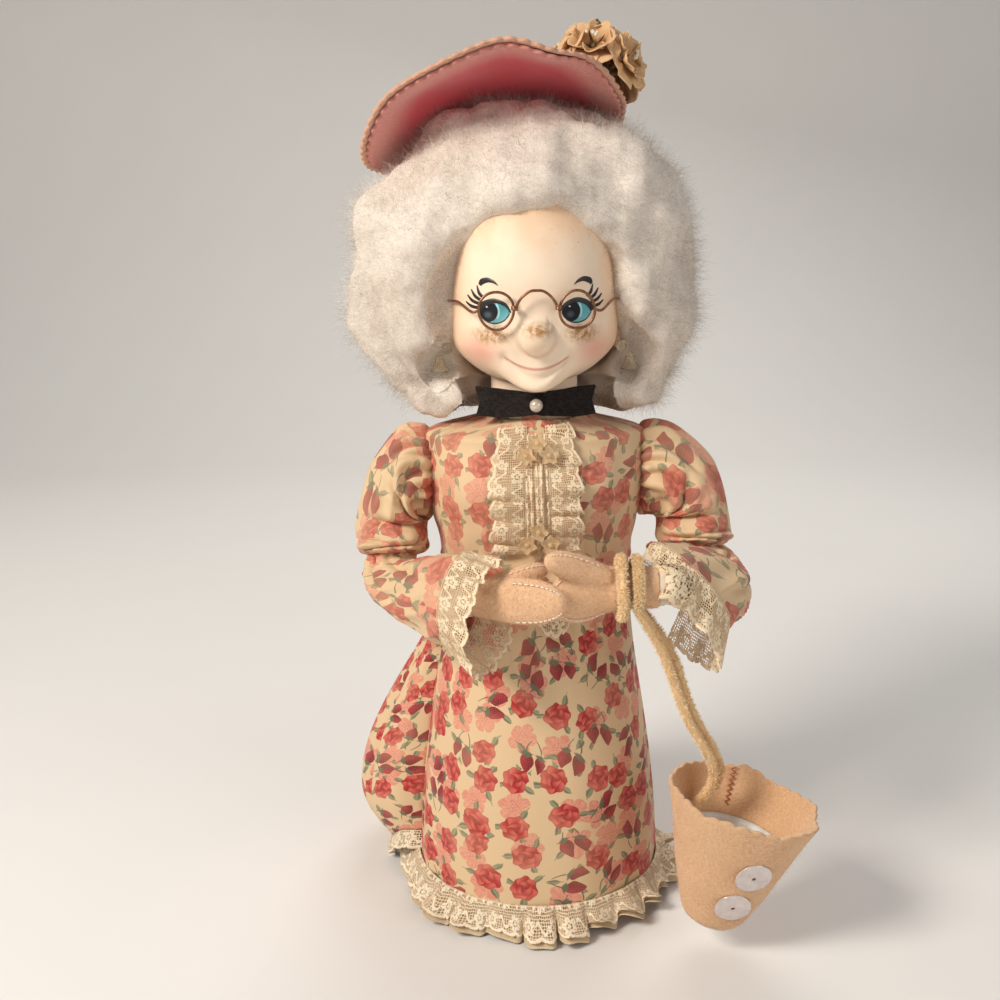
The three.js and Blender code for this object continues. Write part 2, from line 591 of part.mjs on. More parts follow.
// Doll's right arm
const rightElbow = armPoint(-1, 15, 13, 30);
const rightWrist = frontPoint(-27, 17.5, 38);
const rightMouth = frontPoint(-31, 14, 40);
const rightAim = point(0.8, -0.58, -0.14);
const rightPuff = puffSections(-1, 15, 33);
const rightLower = [
  section(rightElbow, point(0, -0.3, -1), point(-1, 0, 0), ARM_RADIUS + 1.5, ARM_RADIUS + 1.5),
  section(armPoint(-1, 13, 20, 40), point(0.4, -0.6, -0.7), point(-1, -0.3, 0),
    ARM_RADIUS + 4, ARM_RADIUS + 4),
  section(frontPoint(-46, -2, 42), point(0.72, -0.66, -0.15), point(-0.6, -0.7, 0),
    ARM_RADIUS + 4, ARM_RADIUS + 8),
  section(rightMouth, rightAim, point(-0.6, -0.7, 0), ARM_RADIUS + 5.5, ARM_RADIUS + 12.5),
];
const rightArmPath = [
  armPoint(-1, 0, 0, 0),
  armPoint(-1, 4, 0, 0),
  armPoint(-1, 10, 1, 5),
  armPoint(-1, 15, 6, 18),
  rightElbow,
  armPoint(-1, 12.5, 21, 40),
  frontPoint(-46, 2, 39.5),
  frontPoint(-34, 13.7, 38.8),
  rightWrist,
];
const rightPalm = rightWrist.clone().add(point(0.4, -0.3, 0));
const rightTip = frontPoint(9.5, 37.5, 34);
const mittenSide = point(0, 0, 1);
// A mitten runs from wrist to tip: [share of the way, half height, half thickness]
const MITTEN_SHAPE = [[0, 0.7, 1.35], [0.2, 0.86, 1.15], [0.45, 1, 1], [0.7, 0.95, 0.92],
  [0.88, 0.7, 0.75], [0.97, 0.36, 0.45]];
function mittenLoft(from, to, halfHeight, halfThickness) {
  const along = to.clone().sub(from);
  return MITTEN_SHAPE.map(([t, tall, thick]) => section(
    from.clone().addScaledVector(along, t), along, mittenSide, halfHeight * tall, halfThickness * thick,
  ));
}
const rightThumb = oval(mittenLoft(frontPoint(-23, 20, 35), frontPoint(3, 21, 25), 4.8, 4));
buildArm({
  name: 'right',
  side: -1,
  puff: rightPuff,
  lower: rightLower,
  armPath: rightArmPath,
  mitten: join(oval(mittenLoft(rightPalm, rightTip, 9.2, 4.4)), rightThumb),
  wirePath: [...rightArmPath, rightPalm.clone().lerp(rightTip, 0.4)],
});

// Doll's left arm: its wrist runs along X, where the basket hangs
const leftElbow = armPoint(1, 20, 13, 28);
const wristAt = (x) => frontPoint(x, HAND_REACH, HAND_DROP);
const wristEnd = LEFT_WRIST_X + LEFT_WRIST_LENGTH / 2;
const leftWrist = wristAt(wristEnd);
const leftMouth = frontPoint(59, 6.5, 37.5);
const leftAim = point(-0.66, -0.5, -0.56);
const mouthAlong = point(0.76, 0.1, -0.64);
const leftPuff = puffSections(1, 20.5, 31);
const leftLower = [
  section(leftElbow, point(0, -0.3, -1), point(1, 0, 0), ARM_RADIUS + 1.5, ARM_RADIUS + 1.5),
  section(armPoint(1, 26, 19, 39), point(-0.1, -0.7, -0.7), point(1, 0, -0.3),
    ARM_RADIUS + 5, ARM_RADIUS + 4),
  section(frontPoint(70, -9, 40), point(-0.5, -0.75, -0.42), point(0.76, 0, -0.5),
    ARM_RADIUS + 10.5, ARM_RADIUS + 6.5),
  section(leftMouth, leftAim, mouthAlong, ARM_RADIUS + 15, ARM_RADIUS + 5.5),
];
const leftArmPath = [
  armPoint(1, 0, 0, 0),
  armPoint(1, 4, 0, 0),
  armPoint(1, 11, 1, 4),
  armPoint(1, 19, 5, 16),
  leftElbow,
  armPoint(1, 24, 20, 38.5),
  frontPoint(62, 4, 39),
  wristAt(wristEnd + 4),
  leftWrist,
];
const leftPalmTip = frontPoint(3.5, 26.5, 36);
const leftPalmFrom = wristAt(LEFT_WRIST_X - LEFT_WRIST_LENGTH / 2 - 2);
const leftCuff = wristAt(wristEnd - GAP);
const leftSections = [
  section(leftCuff, point(-1, 0, 0), mittenSide, LEFT_WRIST_RADIUS, LEFT_WRIST_RADIUS),
  section(wristAt(wristEnd - LEFT_WRIST_LENGTH), point(-1, 0, 0), mittenSide,
    LEFT_WRIST_RADIUS, LEFT_WRIST_RADIUS),
  ...mittenLoft(leftPalmFrom, leftPalmTip, 11.5, 4.6).slice(1),
];
const leftThumb = oval(mittenLoft(frontPoint(25, 21.5, 29), frontPoint(1, 31, 18.5), 5.4, 4));
buildArm({
  name: 'left',
  side: 1,
  puff: leftPuff,
  lower: leftLower,
  armPath: leftArmPath,
  mitten: join(oval(leftSections), leftThumb),
  wirePath: [...leftArmPath, wristAt(LEFT_WRIST_X), leftPalmFrom.clone().lerp(leftPalmTip, 0.3)],
});

// Lace on the sleeve ends: a frill that hangs from the mouth of each sleeve
function cuffLace(mouth, hang, from, to, folds) {
  const along = mouth.along.clone().normalize();
  const edge = sectionRing(mouth, 0, 120);
  const at = (u, v, out) => {
    const turn = from + (to - from) * u;
    const start = edge[Math.round(turn * 120 + 240) % 120].clone();
    const away = start.clone().sub(mouth.centre).normalize();
    const wave = v * (2 + Math.cos(u * TURN * folds));
    return start.addScaledVector(along, GAP + 0.4)
      .addScaledVector(hang, v)
      .addScaledVector(away, wave * 1.5 + out - LACE);
  };
  return sheet((u, v) => at(u, v, LACE), (u, v) => at(u, v, 0), folds * 4, 2);
}
add('right_cuff_lace', cuffLace(rightLower[3],
  rightAim.clone().add(point(0, 0, -0.2)).setLength(CUFF_LACE_DROP), -0.3, 0.42, 7), LACE_COLOR, 0.9);
add('left_cuff_lace', cuffLace(leftLower[3],
  point(-0.35, -0.2, -0.9).setLength(CUFF_LACE_DROP), -0.3, 0.17, 6), LACE_COLOR, 0.9);

// Chenille ring on the left wrist, next to the basket's handle
const ringRadius = (strand) => LEFT_WRIST_RADIUS + GAP + strand;
const bandAt = wristAt(LEFT_WRIST_X - BAND_SPACING);
add('wrist_band', new THREE.TorusGeometry(ringRadius(BAND_RADIUS), BAND_RADIUS, 7, 16)
  .rotateY(Math.PI / 2).translate(bandAt.x, bandAt.y, bandAt.z), CHENILLE, 1);

// Egg-like surfaces: around is the turn from the front, rise runs from -1 at the bottom to 1 at the top
function eggPoint(egg, around, rise, grow) {
  const upper = rise > 0;
  const power = 2 / (upper ? egg.upPower : egg.downPower);
  const angle = rise * Math.PI / 2;
  const tall = (upper ? egg.up : egg.down) + grow;
  const round = Math.pow(Math.cos(angle), power);
  const facing = Math.cos(around * TURN);
  const depth = (facing > 0 ? egg.front : egg.back) + grow;
  return point(
    (egg.halfWidth + grow) * round * Math.sin(around * TURN),
    -depth * round * facing,
    Math.sign(rise) * tall * Math.pow(Math.abs(Math.sin(angle)), power),
  ).add(egg.centre);
}
const levels = (count) => Array.from({ length: count }, (_, i) => -0.95 + 1.91 * i / (count - 1));
// More points towards the face than behind it
const faceward = (t) => t - 0.085 * Math.sin(t * TURN);
function eggBody(egg, grow, sides, count, shape = (p) => p, spread = faceward) {
  return loft(levels(count).map((rise) =>
    ringOf(sides, (t) => shape(eggPoint(egg, spread(t), rise, grow), t, rise))));
}

// Head: a vinyl shell with nose, cheeks, chin and ears, on a neck that goes down into the collar
const headEgg = {
  centre: point(0, HEAD_Y, HEAD_Z),
  halfWidth: HEAD_HALF_WIDTH,
  front: HEAD_FRONT,
  back: HEAD_BACK,
  up: HEAD_CROWN,
  down: HEAD_JAW,
  upPower: 2.2,
  downPower: 2.5,
};
const bump = (dx, dz, spread) => Math.exp(-(dx * dx + dz * dz) / (spread * spread));
function faceRelief(x, z) {
  const dz = z - HEAD_Z;
  const cheeks = bump(Math.abs(x) - 17, dz + 9, 10);
  return NOSE_HEIGHT * bump(x, dz + 4, 5.5) + CHEEK_HEIGHT * cheeks + 1.6 * bump(x, dz + 20, 8);
}
const withFace = (p) => {
  const front = Math.max(0, (HEAD_Y - p.y) / HEAD_FRONT);
  return p.setY(p.y - faceRelief(p.x, p.z) * front);
};
// Height at which the bottle's shoulder has a given radius
const shoulderHeight = (r) => {
  const share = (r - BOTTLE_NECK_RADIUS) / (BOTTLE_RADIUS - BOTTLE_NECK_RADIUS);
  return SHOULDER_Z + BOTTLE_SHOULDER_LENGTH * Math.acos(2 * share - 1) / Math.PI;
};
const neckFoot = shoulderHeight(NECK_BORE) + 4 * GAP; // clear of the shoulder as the head turns
const neckTop = HEAD_Z - 12;
const rod = (r, z0, z1, sides) => turned([[0, z0], [r, z0], [r, z1], [0, z1]], sides);
const earAt = (side) => point(side * HEAD_HALF_WIDTH, HEAD_Y + 4, HEAD_Z - 5);
const ear = (side, grow) =>
  ellipsoid(earAt(side), point(3.4 + grow, 5 + grow, EAR_HALF_HEIGHT + grow), 10, 8);
const skull = join(eggBody(headEgg, 0, 24, 15, withFace), rod(NECK_RADIUS, neckFoot, neckTop, 20),
  ear(-1, 0), ear(1, 0));
add('head', cut(geometryOf(solid(skull)), eggBody(headEgg, -HEAD_WALL, 12, 7),
  rod(NECK_BORE, neckFoot - 5, neckTop, 20)), 0xf0c8a0, 0.45);

// Spectacles: one wire that makes both loops and the bridge, and two side wires
const eyeZ = HEAD_Z + EYE_RISE;
const lensY = HEAD_Y - HEAD_FRONT - SPECTACLE_STANDOFF * 0.3;
const lensPoint = (side, turn, back) => point(
  side * EYE_HALF_SPACING + LENS_HALF_WIDTH * Math.cos(turn * TURN),
  lensY + back,
  eyeZ + LENS_HALF_HEIGHT * Math.sin(turn * TURN),
);
const wireClear = 2 * SPECTACLE_WIRE + GAP;
const LOOP_POINTS = 12;
const loop = (side, from) => Array.from({ length: LOOP_POINTS + 1 }, (_, i) => {
  const t = i / LOOP_POINTS;
  return lensPoint(side, from + t, wireClear * (side < 0 ? 1 - t : t));
});
const bridgeHalf = EYE_HALF_SPACING - LENS_HALF_WIDTH;
const bridge = [
  point(-bridgeHalf * 0.75, lensY - 1, eyeZ + 4.5),
  point(0, lensY - 1.6, eyeZ + 7.5),
  point(bridgeHalf * 0.75, lensY - 1, eyeZ + 4.5),
];
add('spectacles', wire([...loop(-1, 0), ...bridge, ...loop(1, 0.5)], SPECTACLE_WIRE, 5, 48),
  COPPER, 0.35, 1);
function temple(side) {
  const hinge = side * (EYE_HALF_SPACING + LENS_HALF_WIDTH + wireClear);
  const sideAt = eggPoint(headEgg, side * 0.235, 0.12, SPECTACLE_WIRE + GAP);
  return wire([
    point(hinge, lensY + 1, eyeZ + 0.6),
    eggPoint(headEgg, side * 0.15, 0.12, 3),
    eggPoint(headEgg, side * 0.2, 0.12, 1.8),
    sideAt,
  ], SPECTACLE_WIRE, 5, 8);
}
add('right_temple', temple(-1), COPPER, 0.35, 1);
add('left_temple', temple(1), COPPER, 0.35, 1);

// Earrings: a clear bead against the head with a bell-shaped bead below it
const earringAt = (side) => {
  const reach = EARRING_BEAD_RADIUS + GAP;
  return eggPoint(headEgg, side * 0.22, -0.2, reach).add(point(side * 0.6, 0, 0));
};
function earring(name, side) {
  const top = earringAt(side);
  const beadHalf = point(EARRING_BEAD_RADIUS, EARRING_BEAD_RADIUS, EARRING_BEAD_RADIUS);
  add(name + '_bead', ellipsoid(top, beadHalf, 8, 6), 0xf0ead8, 0.1);
  const bell = turned([
    [0, 0],
    [EARRING_BELL_RADIUS * 0.35, 0],
    [EARRING_BELL_RADIUS * 0.6, -EARRING_BELL_LENGTH * 0.4],
    [EARRING_BELL_RADIUS, -EARRING_BELL_LENGTH],
    [EARRING_BELL_RADIUS * 0.5, -EARRING_BELL_LENGTH * 0.7],
    [0, -EARRING_BELL_LENGTH * 0.6],
  ].reverse(), 12);
  const out = side * (EARRING_BELL_RADIUS - EARRING_BEAD_RADIUS + 1.4);
  bell.translate(top.x + out, top.y, top.z - EARRING_BEAD_RADIUS - GAP);
  add(name + '_bell', bell, CLEAR_YELLOW, 0.12);
}
earring('right_earring', -1);
earring('left_earring', 1);

// Hat: a drooping felt disc with a lining, tilted back and down to the doll's right
const hatCentre = point(-HAT_SHIFT, HAT_SETBACK, HEAD_Z + HAIR_RISE + HAIR_UP + 4);
const hatTurn = new THREE.Quaternion()
  .setFromAxisAngle(point(0, 1, 0), -HAT_ROLL * RAD)
  .multiply(new THREE.Quaternion().setFromAxisAngle(point(1, 0, 0), -HAT_TILT * RAD));
const hatPoint = (a, b, lift) => point(
  HAT_HALF_WIDTH * a,
  HAT_HALF_DEPTH * b,
  lift - HAT_BEND * a * a - HAT_DISH * b * b,
).applyQuaternion(hatTurn).add(hatCentre);
const HAT_SHARES = [0.3, 0.65, 1];
function hatDisc(size, top, bottom, shares = HAT_SHARES) {
  const sides = 28;
  const face = (share, lift) =>
    ringOf(sides, (t) => hatPoint(
      size * share * Math.cos(t * TURN), size * share * Math.sin(t * TURN), lift));
  return loft([
    ...shares.map((s) => face(s, top)),
    ...shares.slice().reverse().map((s) => face(s, bottom)),
  ]);
}
const liningTop = -FELT - GAP;
add('hat_felt', hatDisc(1, 0, -FELT), 0xd9a878, 0.95);
add('hat_lining', hatDisc(1 - HAT_LINING_INSET / HAT_HALF_WIDTH, liningTop, liningTop - FELT),
  0xc9727a, 0.95);

// Hair: a full soft mass round the head, open at the face, clear of the collar and shoulders as it turns
const hairEgg = {
  centre: point(-2, HAIR_SETBACK, HEAD_Z + HAIR_RISE),
  halfWidth: HAIR_HALF_WIDTH,
  front: HAIR_FRONT,
  back: HAIR_BACK,
  up: HAIR_UP,
  down: HAIR_DOWN,
  upPower: 2.15,
  downPower: 3.7,
};
const lumps = (p, t, rise) => {
  const swell = 0.022 * Math.sin(t * TURN * 5 + 3 * rise) + 0.018 * Math.sin(t * TURN * 3 - 7 * rise);
  return p.addScaledVector(p.clone().sub(hairEgg.centre), swell);
};
// The face opening widens towards the front
const opening = turned([[0, -4], [1, -4], [1.34, 48], [0, 48]], 18)
  .scale(HEAD_HALF_WIDTH + 1, HEAD_JAW + 13, 1)
  .rotateX(Math.PI / 2).translate(0, HEAD_Y, HEAD_Z + 4);
const sleeveTop = ARM_Z + PUFF_HALF_HEIGHT;
const bowReach = BOW_HALF_WIDTH + 11;
const bowTop = bowZ + BOW_HALF_HEIGHT + 2;
const shoulderClear = turned([
  [0, 0],
  [3 * BOTTLE_RADIUS, 0],
  [3 * BOTTLE_RADIUS, sleeveTop + HAIR_LIFT],
  [bowReach, sleeveTop + HAIR_LIFT],
  [bowReach, bowTop],
  [0, bowTop],
], 28);
const earringClear = (side) => {
  const reach = EARRING_BELL_RADIUS + EARRING_BELL_LENGTH;
  const at = earringAt(side).add(point(side * 3, -4, -4));
  return ellipsoid(at, point(reach, reach, reach), 10, 8);
};
const NECK_ROOM = NECK_RADIUS + 1;
add('hair', cut(
  eggBody(hairEgg, 0, 22, 13, lumps),
  eggBody(headEgg, GAP + 1, 20, 11, (p) => p, (t) => t),
  rod(NECK_ROOM, neckFoot - 5, neckTop, 16),
  ear(-1, 1.2), ear(1, 1.2),
  earringClear(-1), earringClear(1),
  opening,
  shoulderClear,
  hatDisc(1, 40, liningTop - FELT - GAP - 0.4, [...HAT_SHARES, 1.3]),
), 0xd8cfc2, 1);

// Dried blossoms: a stem and a cup of five petals
function blossom() {
  const n = 10;
  const petal = (t, share) => 1 - 0.2 * share * (0.5 + 0.5 * Math.cos(t * TURN * 5));
  const cup = (share, lift) => ringOf(n, (t) => onCircle(t, FLOWER_RADIUS * share * petal(t, share),
    STEM_LENGTH + lift + FLOWER_HEIGHT * Math.pow(share, 1.5)));
  const stalk = (z) => ringOf(n, (t) => onCircle(t, STEM_RADIUS, z));
  return loft([
    stalk(0), stalk(STEM_LENGTH),
    cup(0.4, 0), cup(0.75, 0), cup(1, 0),
    cup(0.97, 0.9), cup(0.6, 1.1), cup(0.25, 1.2),
  ]);
}
// The posy: stems bound into a ball on the hat, with blossoms and leaves fanning out of it
const posyCentre = hatPoint(0.72, -0.2, POSY_RADIUS + SEAT);
const posyHalf = point(POSY_RADIUS, POSY_RADIUS, POSY_RADIUS);
add('flower_stems', ellipsoid(posyCentre, posyHalf, 8, 6), 0x6a5a34, 0.9);
function inPosy(geometry, turn, rise) {
  const aim = point(
    Math.cos(rise * RAD) * Math.cos(turn * TURN),
    Math.cos(rise * RAD) * Math.sin(turn * TURN),
    Math.sin(rise * RAD),
  ).applyQuaternion(hatTurn);
  const lean = new THREE.Quaternion().setFromUnitVectors(point(0, 0, 1), aim);
  const foot = posyCentre.clone().addScaledVector(aim, POSY_RADIUS + GAP);
  return geometry.applyQuaternion(lean).translate(foot.x, foot.y, foot.z);
}
const OUTER_BLOSSOMS = 6;
for (let i = 0; i < OUTER_BLOSSOMS; i++) {
  const geometry = inPosy(blossom(), (i + 0.5) / OUTER_BLOSSOMS, FLOWER_RISE);
  add('hat_flower_' + (i + 1), geometry, 0xb98a4a, 0.9);
}
add('hat_flower_7', inPosy(blossom(), 0, 90), 0xb98a4a, 0.9);
// Leaves: a small pointed blade on a short stalk, between the blossoms
function leaf() {
  const blade = (share, half) => ringOf(6, (t) =>
    point(half * Math.cos(t * TURN), 0.5 * Math.sin(t * TURN), LEAF_LENGTH * share));
  return loft([blade(0, 0.6), blade(0.4, 0.7), blade(0.62, 1.6), blade(0.85, 1.3), blade(1, 0.4)]);
}
add('hat_leaf_1', inPosy(leaf(), 0.33, 64), 0x3f5f3a, 0.9);
add('hat_leaf_2', inPosy(leaf(), 0.83, 64), 0x3f5f3a, 0.9);

// Basket: a felt cone with a cup, a base card and a chenille handle, leaning outwards under the wrist
const basketFoot = point(LEFT_WRIST_X + BASKET_OUT, leftWrist.y, BASKET_FLOOR_GAP);
const basketLean = new THREE.Quaternion().setFromAxisAngle(point(0, 1, 0), BASKET_TILT * RAD);
const inBasket = (x, y, z) => point(x, y, z).applyQuaternion(basketLean).add(basketFoot);
const placed = (geometry) =>
  geometry.applyQuaternion(basketLean).translate(basketFoot.x, basketFoot.y, basketFoot.z);
const feltRadius = (s) =>
  BASKET_BASE_RADIUS + (BASKET_MOUTH_RADIUS - BASKET_BASE_RADIUS) * Math.pow(s / BASKET_HEIGHT, 0.85);
add('basket_felt', placed(sheet(
  (u, v) => onCircle(u, feltRadius(BASKET_HEIGHT * v), BASKET_HEIGHT * v),
  (u, v) => onCircle(u, feltRadius(BASKET_HEIGHT * v) - FELT, BASKET_HEIGHT * v),
  24, 4, true,
)), FELT_PEACH, 0.95);
const cupRadius = (s) => feltRadius(s) - FELT - GAP;
const cupSteps = [0, 0.2, 0.6, 1].map((t) => 0.5 + CUP_HEIGHT * t);
add('basket_cup', placed(turned([
  [0, cupSteps[0]],
  ...cupSteps.map((s) => [cupRadius(s), s]),
  ...cupSteps.slice(1).reverse().map((s) => [cupRadius(s) - CUP_WALL, s]),
  [cupRadius(cupSteps[0]) - CUP_WALL, cupSteps[0] + CUP_WALL],
  [0, cupSteps[0] + CUP_WALL],
], 24)), 0xe8e6e0, 0.5);
add('basket_base', placed(rod(BASKET_BASE_RADIUS - 1, -BASE_DISC - GAP, -GAP, 24)), 0xf0eee8, 0.8);

// Handle: up from the basket's back wall, round the wrist and down again beside itself
const strandApart = 2 * HANDLE_RADIUS + GAP;
const pair = point(0.6, 0.8, 0).multiplyScalar(strandApart / 2);
const hookRadius = ringRadius(HANDLE_RADIUS);
const hook = Array.from({ length: 9 }, (_, i) => {
  const turn = (-40 + 260 * i / 8) * RAD;
  return wristAt(LEFT_WRIST_X).add(
    point(0, -hookRadius * Math.cos(turn), hookRadius * Math.sin(turn)));
});
const footHeight = CUP_HEIGHT + HANDLE_RADIUS + 1.2;
const footRadius = feltRadius(footHeight) - FELT - GAP - HANDLE_RADIUS - 0.7;
const handleFoot = inBasket(-0.735 * footRadius, 0.678 * footRadius, footHeight);
const handleRim = inBasket(-11, 11, BASKET_HEIGHT + 4);
const wristCentre = wristAt(LEFT_WRIST_X);
const strand = (sign) => [
  wristCentre.clone().lerp(handleRim, 0.36).addScaledVector(pair, sign * 1.1),
  wristCentre.clone().lerp(handleRim, 0.68).addScaledVector(pair, sign),
  handleRim.clone().addScaledVector(pair, sign),
  handleFoot.clone().addScaledVector(pair, sign),
];
add('basket_handle', wire([...strand(-1).reverse(), ...hook, ...strand(1)], HANDLE_RADIUS, 7, 36),
  CHENILLE, 1);

// Sequins lie flat on the front of the felt
function sequin(turn, height) {
  const r = feltRadius(height);
  const slope = (feltRadius(height + 1) - feltRadius(height - 1)) / 2;
  const facing = point(Math.cos(turn * TURN), Math.sin(turn * TURN), -slope).normalize();
  const centre = onCircle(turn, r, height).addScaledVector(facing, GAP);
  const stand = new THREE.Quaternion().setFromUnitVectors(point(0, 0, 1), facing);
  const disc = rod(SEQUIN_RADIUS, 0, SEQUIN_THICKNESS, 20).applyQuaternion(stand);
  return placed(disc.translate(centre.x, centre.y, centre.z));
}
add('sequin_upper', sequin(-0.22, 31), 0xefe9e4, 0.2);
add('sequin_lower', sequin(-0.235, 14), 0xefe9e4, 0.2);

export default doll;
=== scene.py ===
"""Looks of the bottle doll: printed dress, lace, felt, hair, painted face and a plain studio."""
import math

import bmesh
import bpy
import numpy as np
from mathutils import Matrix, Vector


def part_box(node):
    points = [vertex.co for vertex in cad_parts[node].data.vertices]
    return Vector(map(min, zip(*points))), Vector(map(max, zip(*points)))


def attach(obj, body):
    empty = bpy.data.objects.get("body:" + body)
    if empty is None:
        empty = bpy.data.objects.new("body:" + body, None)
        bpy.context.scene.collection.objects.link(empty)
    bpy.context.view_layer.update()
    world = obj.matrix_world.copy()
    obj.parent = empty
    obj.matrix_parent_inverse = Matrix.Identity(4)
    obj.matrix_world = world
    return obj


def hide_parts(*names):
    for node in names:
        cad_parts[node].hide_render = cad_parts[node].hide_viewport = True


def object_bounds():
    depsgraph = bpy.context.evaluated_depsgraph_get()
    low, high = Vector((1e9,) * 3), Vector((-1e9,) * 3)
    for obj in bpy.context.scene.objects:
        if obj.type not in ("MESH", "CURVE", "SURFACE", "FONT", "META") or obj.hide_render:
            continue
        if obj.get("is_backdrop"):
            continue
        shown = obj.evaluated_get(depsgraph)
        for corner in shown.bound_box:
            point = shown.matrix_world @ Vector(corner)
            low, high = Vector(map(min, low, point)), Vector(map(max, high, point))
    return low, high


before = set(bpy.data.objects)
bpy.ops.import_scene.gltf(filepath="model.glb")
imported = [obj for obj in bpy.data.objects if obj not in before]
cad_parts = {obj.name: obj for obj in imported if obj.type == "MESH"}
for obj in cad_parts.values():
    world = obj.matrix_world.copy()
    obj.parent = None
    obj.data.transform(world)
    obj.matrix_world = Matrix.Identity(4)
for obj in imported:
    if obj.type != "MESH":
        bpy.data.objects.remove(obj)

bl_info = {
    "name": "Bottle Doll",
    "version": (1, 0, 0),
    "blender": (4, 2, 0),
    "location": "3D View > Sidebar > Doll",
    "description": "Builds the cloth, felt, lace and hair of a bottle doll over its solid frame",
    "category": "Object",
}

MM = 0.001
TAU = 2 * math.pi
FIBRE_STEPS = 2
FIBRE_POINTS = 2 * (FIBRE_STEPS + 1)


# Number work: everything here is in millimetres and works on whole arrays


def ease(t):
    """Smooth step from 0 to 1."""
    t = np.clip(t, 0, 1)
    return t * t * (3 - 2 * t)


def unit(v):
    """Vectors along the last axis, made one long."""
    v = np.asarray(v, float)
    return v / np.maximum(np.linalg.norm(v, axis=-1, keepdims=True), 1e-9)


def stack(x, y, z):
    """Three arrays of coordinates as one array of points."""
    return np.stack(np.broadcast_arrays(x, y, z), -1)


def about_z(r, turn, z):
    """Points at a distance and an angle from the Z axis."""
    return stack(r * np.cos(turn), r * np.sin(turn), z)


def curve_through(rows, t):
    """Smooth curve through equally spaced rows: a cubic per span whose slopes join."""
    rows = np.asarray(rows, float)
    spans = len(rows) - 1
    rows = np.concatenate([[2 * rows[0] - rows[1]], rows, [2 * rows[-1] - rows[-2]]])
    place = np.clip(np.asarray(t, float) * spans, 0, spans - 1e-9)
    i = place.astype(int)
    f = (place - i)[..., None]
    a, b, c, d = rows[i], rows[i + 1], rows[i + 2], rows[i + 3]
    return b + 0.5 * f * (c - a + f * (2 * a - 5 * b + 4 * c - d + f * (3 * (b - c) + d - a)))


def ripples(x, y, seed, count=6, lowest=1.0, highest=4.0):
    """A smooth uneven field between about -1 and 1: a sum of sine waves in seeded directions."""
    rng = np.random.default_rng(seed)
    total = 0
    for _ in range(count):
        turn = rng.uniform(0, TAU)
        pitch = rng.uniform(lowest, highest)
        total = total + np.sin(pitch * (x * math.cos(turn) + y * math.sin(turn)) + rng.uniform(0, TAU))
    return total / math.sqrt(count)


def lumps(p, seed, pitch, count=9):
    """A smooth uneven field in space: sine waves of about that wavelength in seeded directions."""
    rng = np.random.default_rng(seed)
    aims = unit(rng.normal(size=(count, 3))) * TAU / (pitch * rng.uniform(0.7, 1.5, (count, 1)))
    return np.sin(p @ aims.T + rng.uniform(0, TAU, count)).sum(-1) / math.sqrt(count)


def grid(nu, nv):
    """Two parameters from 0 to 1 on a grid of nu by nv points."""
    return np.meshgrid(np.linspace(0, 1, nu), np.linspace(0, 1, nv), indexing="ij")


def ring_grid(nu, nv):
    """The same for a grid whose last column joins the first, so that the first parameter stops short of 1."""
    return np.meshgrid(np.arange(nu) / nu, np.linspace(0, 1, nv), indexing="ij")


def ring_uv(nu, length, rows):
    """UVs of such a grid: its length round, with one column more, by the places of its rows."""
    return np.stack(np.meshgrid(np.arange(nu + 1) / nu * length, rows, indexing="ij"), -1)


def grid_faces(nu, nv, wrap=False, flip=False):
    """Four-sided faces of a grid; with wrap the last column joins the first."""
    i, j = np.meshgrid(np.arange(nu if wrap else nu - 1), np.arange(nv - 1), indexing="ij")
    k = (i + 1) % nu
    faces = np.stack([i * nv + j, k * nv + j, k * nv + j + 1, i * nv + j + 1], -1).reshape(-1, 4)
    return faces[:, ::-1] if flip else faces


def corner_uv(uv, flip=False):
    """UV of each face corner, from a grid of UVs that has one column more where the mesh wraps."""
    a, b, c, d = uv[:-1, :-1], uv[1:, :-1], uv[1:, 1:], uv[:-1, 1:]
    corners = np.stack([a, b, c, d], 2).reshape(-1, 4, 2)
    return corners[:, ::-1] if flip else corners


def mark_along(mesh, share):
    """Keeps each point's share of the way along its fibre, which the fibre's material reads."""
    layer = mesh.attributes.new("along", "FLOAT", "POINT")
    layer.data.foreach_set("value", np.asarray(share, np.float32).ravel())


def new_piece(name, points, faces, along=None, uv=None):
    """A mesh object from points in millimetres, lists of faces, UVs in centimetres and shares along."""
    points = np.asarray(points, float).reshape(-1, 3)
    faces = faces if isinstance(faces, list) else [faces]
    mesh = bpy.data.meshes.new(name)
    mesh.vertices.add(len(points))
    mesh.vertices.foreach_set("co", (points * MM).astype(np.float32).ravel())
    sides = np.concatenate([np.full(len(f), f.shape[1]) for f in faces])
    loops = np.concatenate([f.ravel() for f in faces])
    mesh.loops.add(len(loops))
    mesh.loops.foreach_set("vertex_index", loops.astype(np.int32))
    mesh.polygons.add(len(sides))
    mesh.polygons.foreach_set("loop_start", (np.cumsum(sides) - sides).astype(np.int32))
    mesh.polygons.foreach_set("use_smooth", np.full(len(sides), True))
    if uv is not None:
        layer = mesh.uv_layers.new(name="UVMap")
        layer.data.foreach_set("uv", np.asarray(uv, np.float32).ravel())
    if along is not None:
        mark_along(mesh, along)
    mesh.update(calc_edges=True)
    mesh.validate()
    obj = bpy.data.objects.new(name, mesh)
    bpy.context.scene.collection.objects.link(obj)
    return obj


def thicken(obj, thick):
    """Has a sheet thickened evenly to both sides."""
    shell = obj.modifiers.new("thickness", "SOLIDIFY")
    shell.thickness = thick * MM
    shell.offset = 0
    return obj


def cloth(name, points, uv, thick, wrap=False, flip=False):
    """A thickened sheet from a grid of points."""
    nu, nv = points.shape[:2]
    return thicken(new_piece(name, points, grid_faces(nu, nv, wrap, flip), uv=corner_uv(uv, flip)), thick)


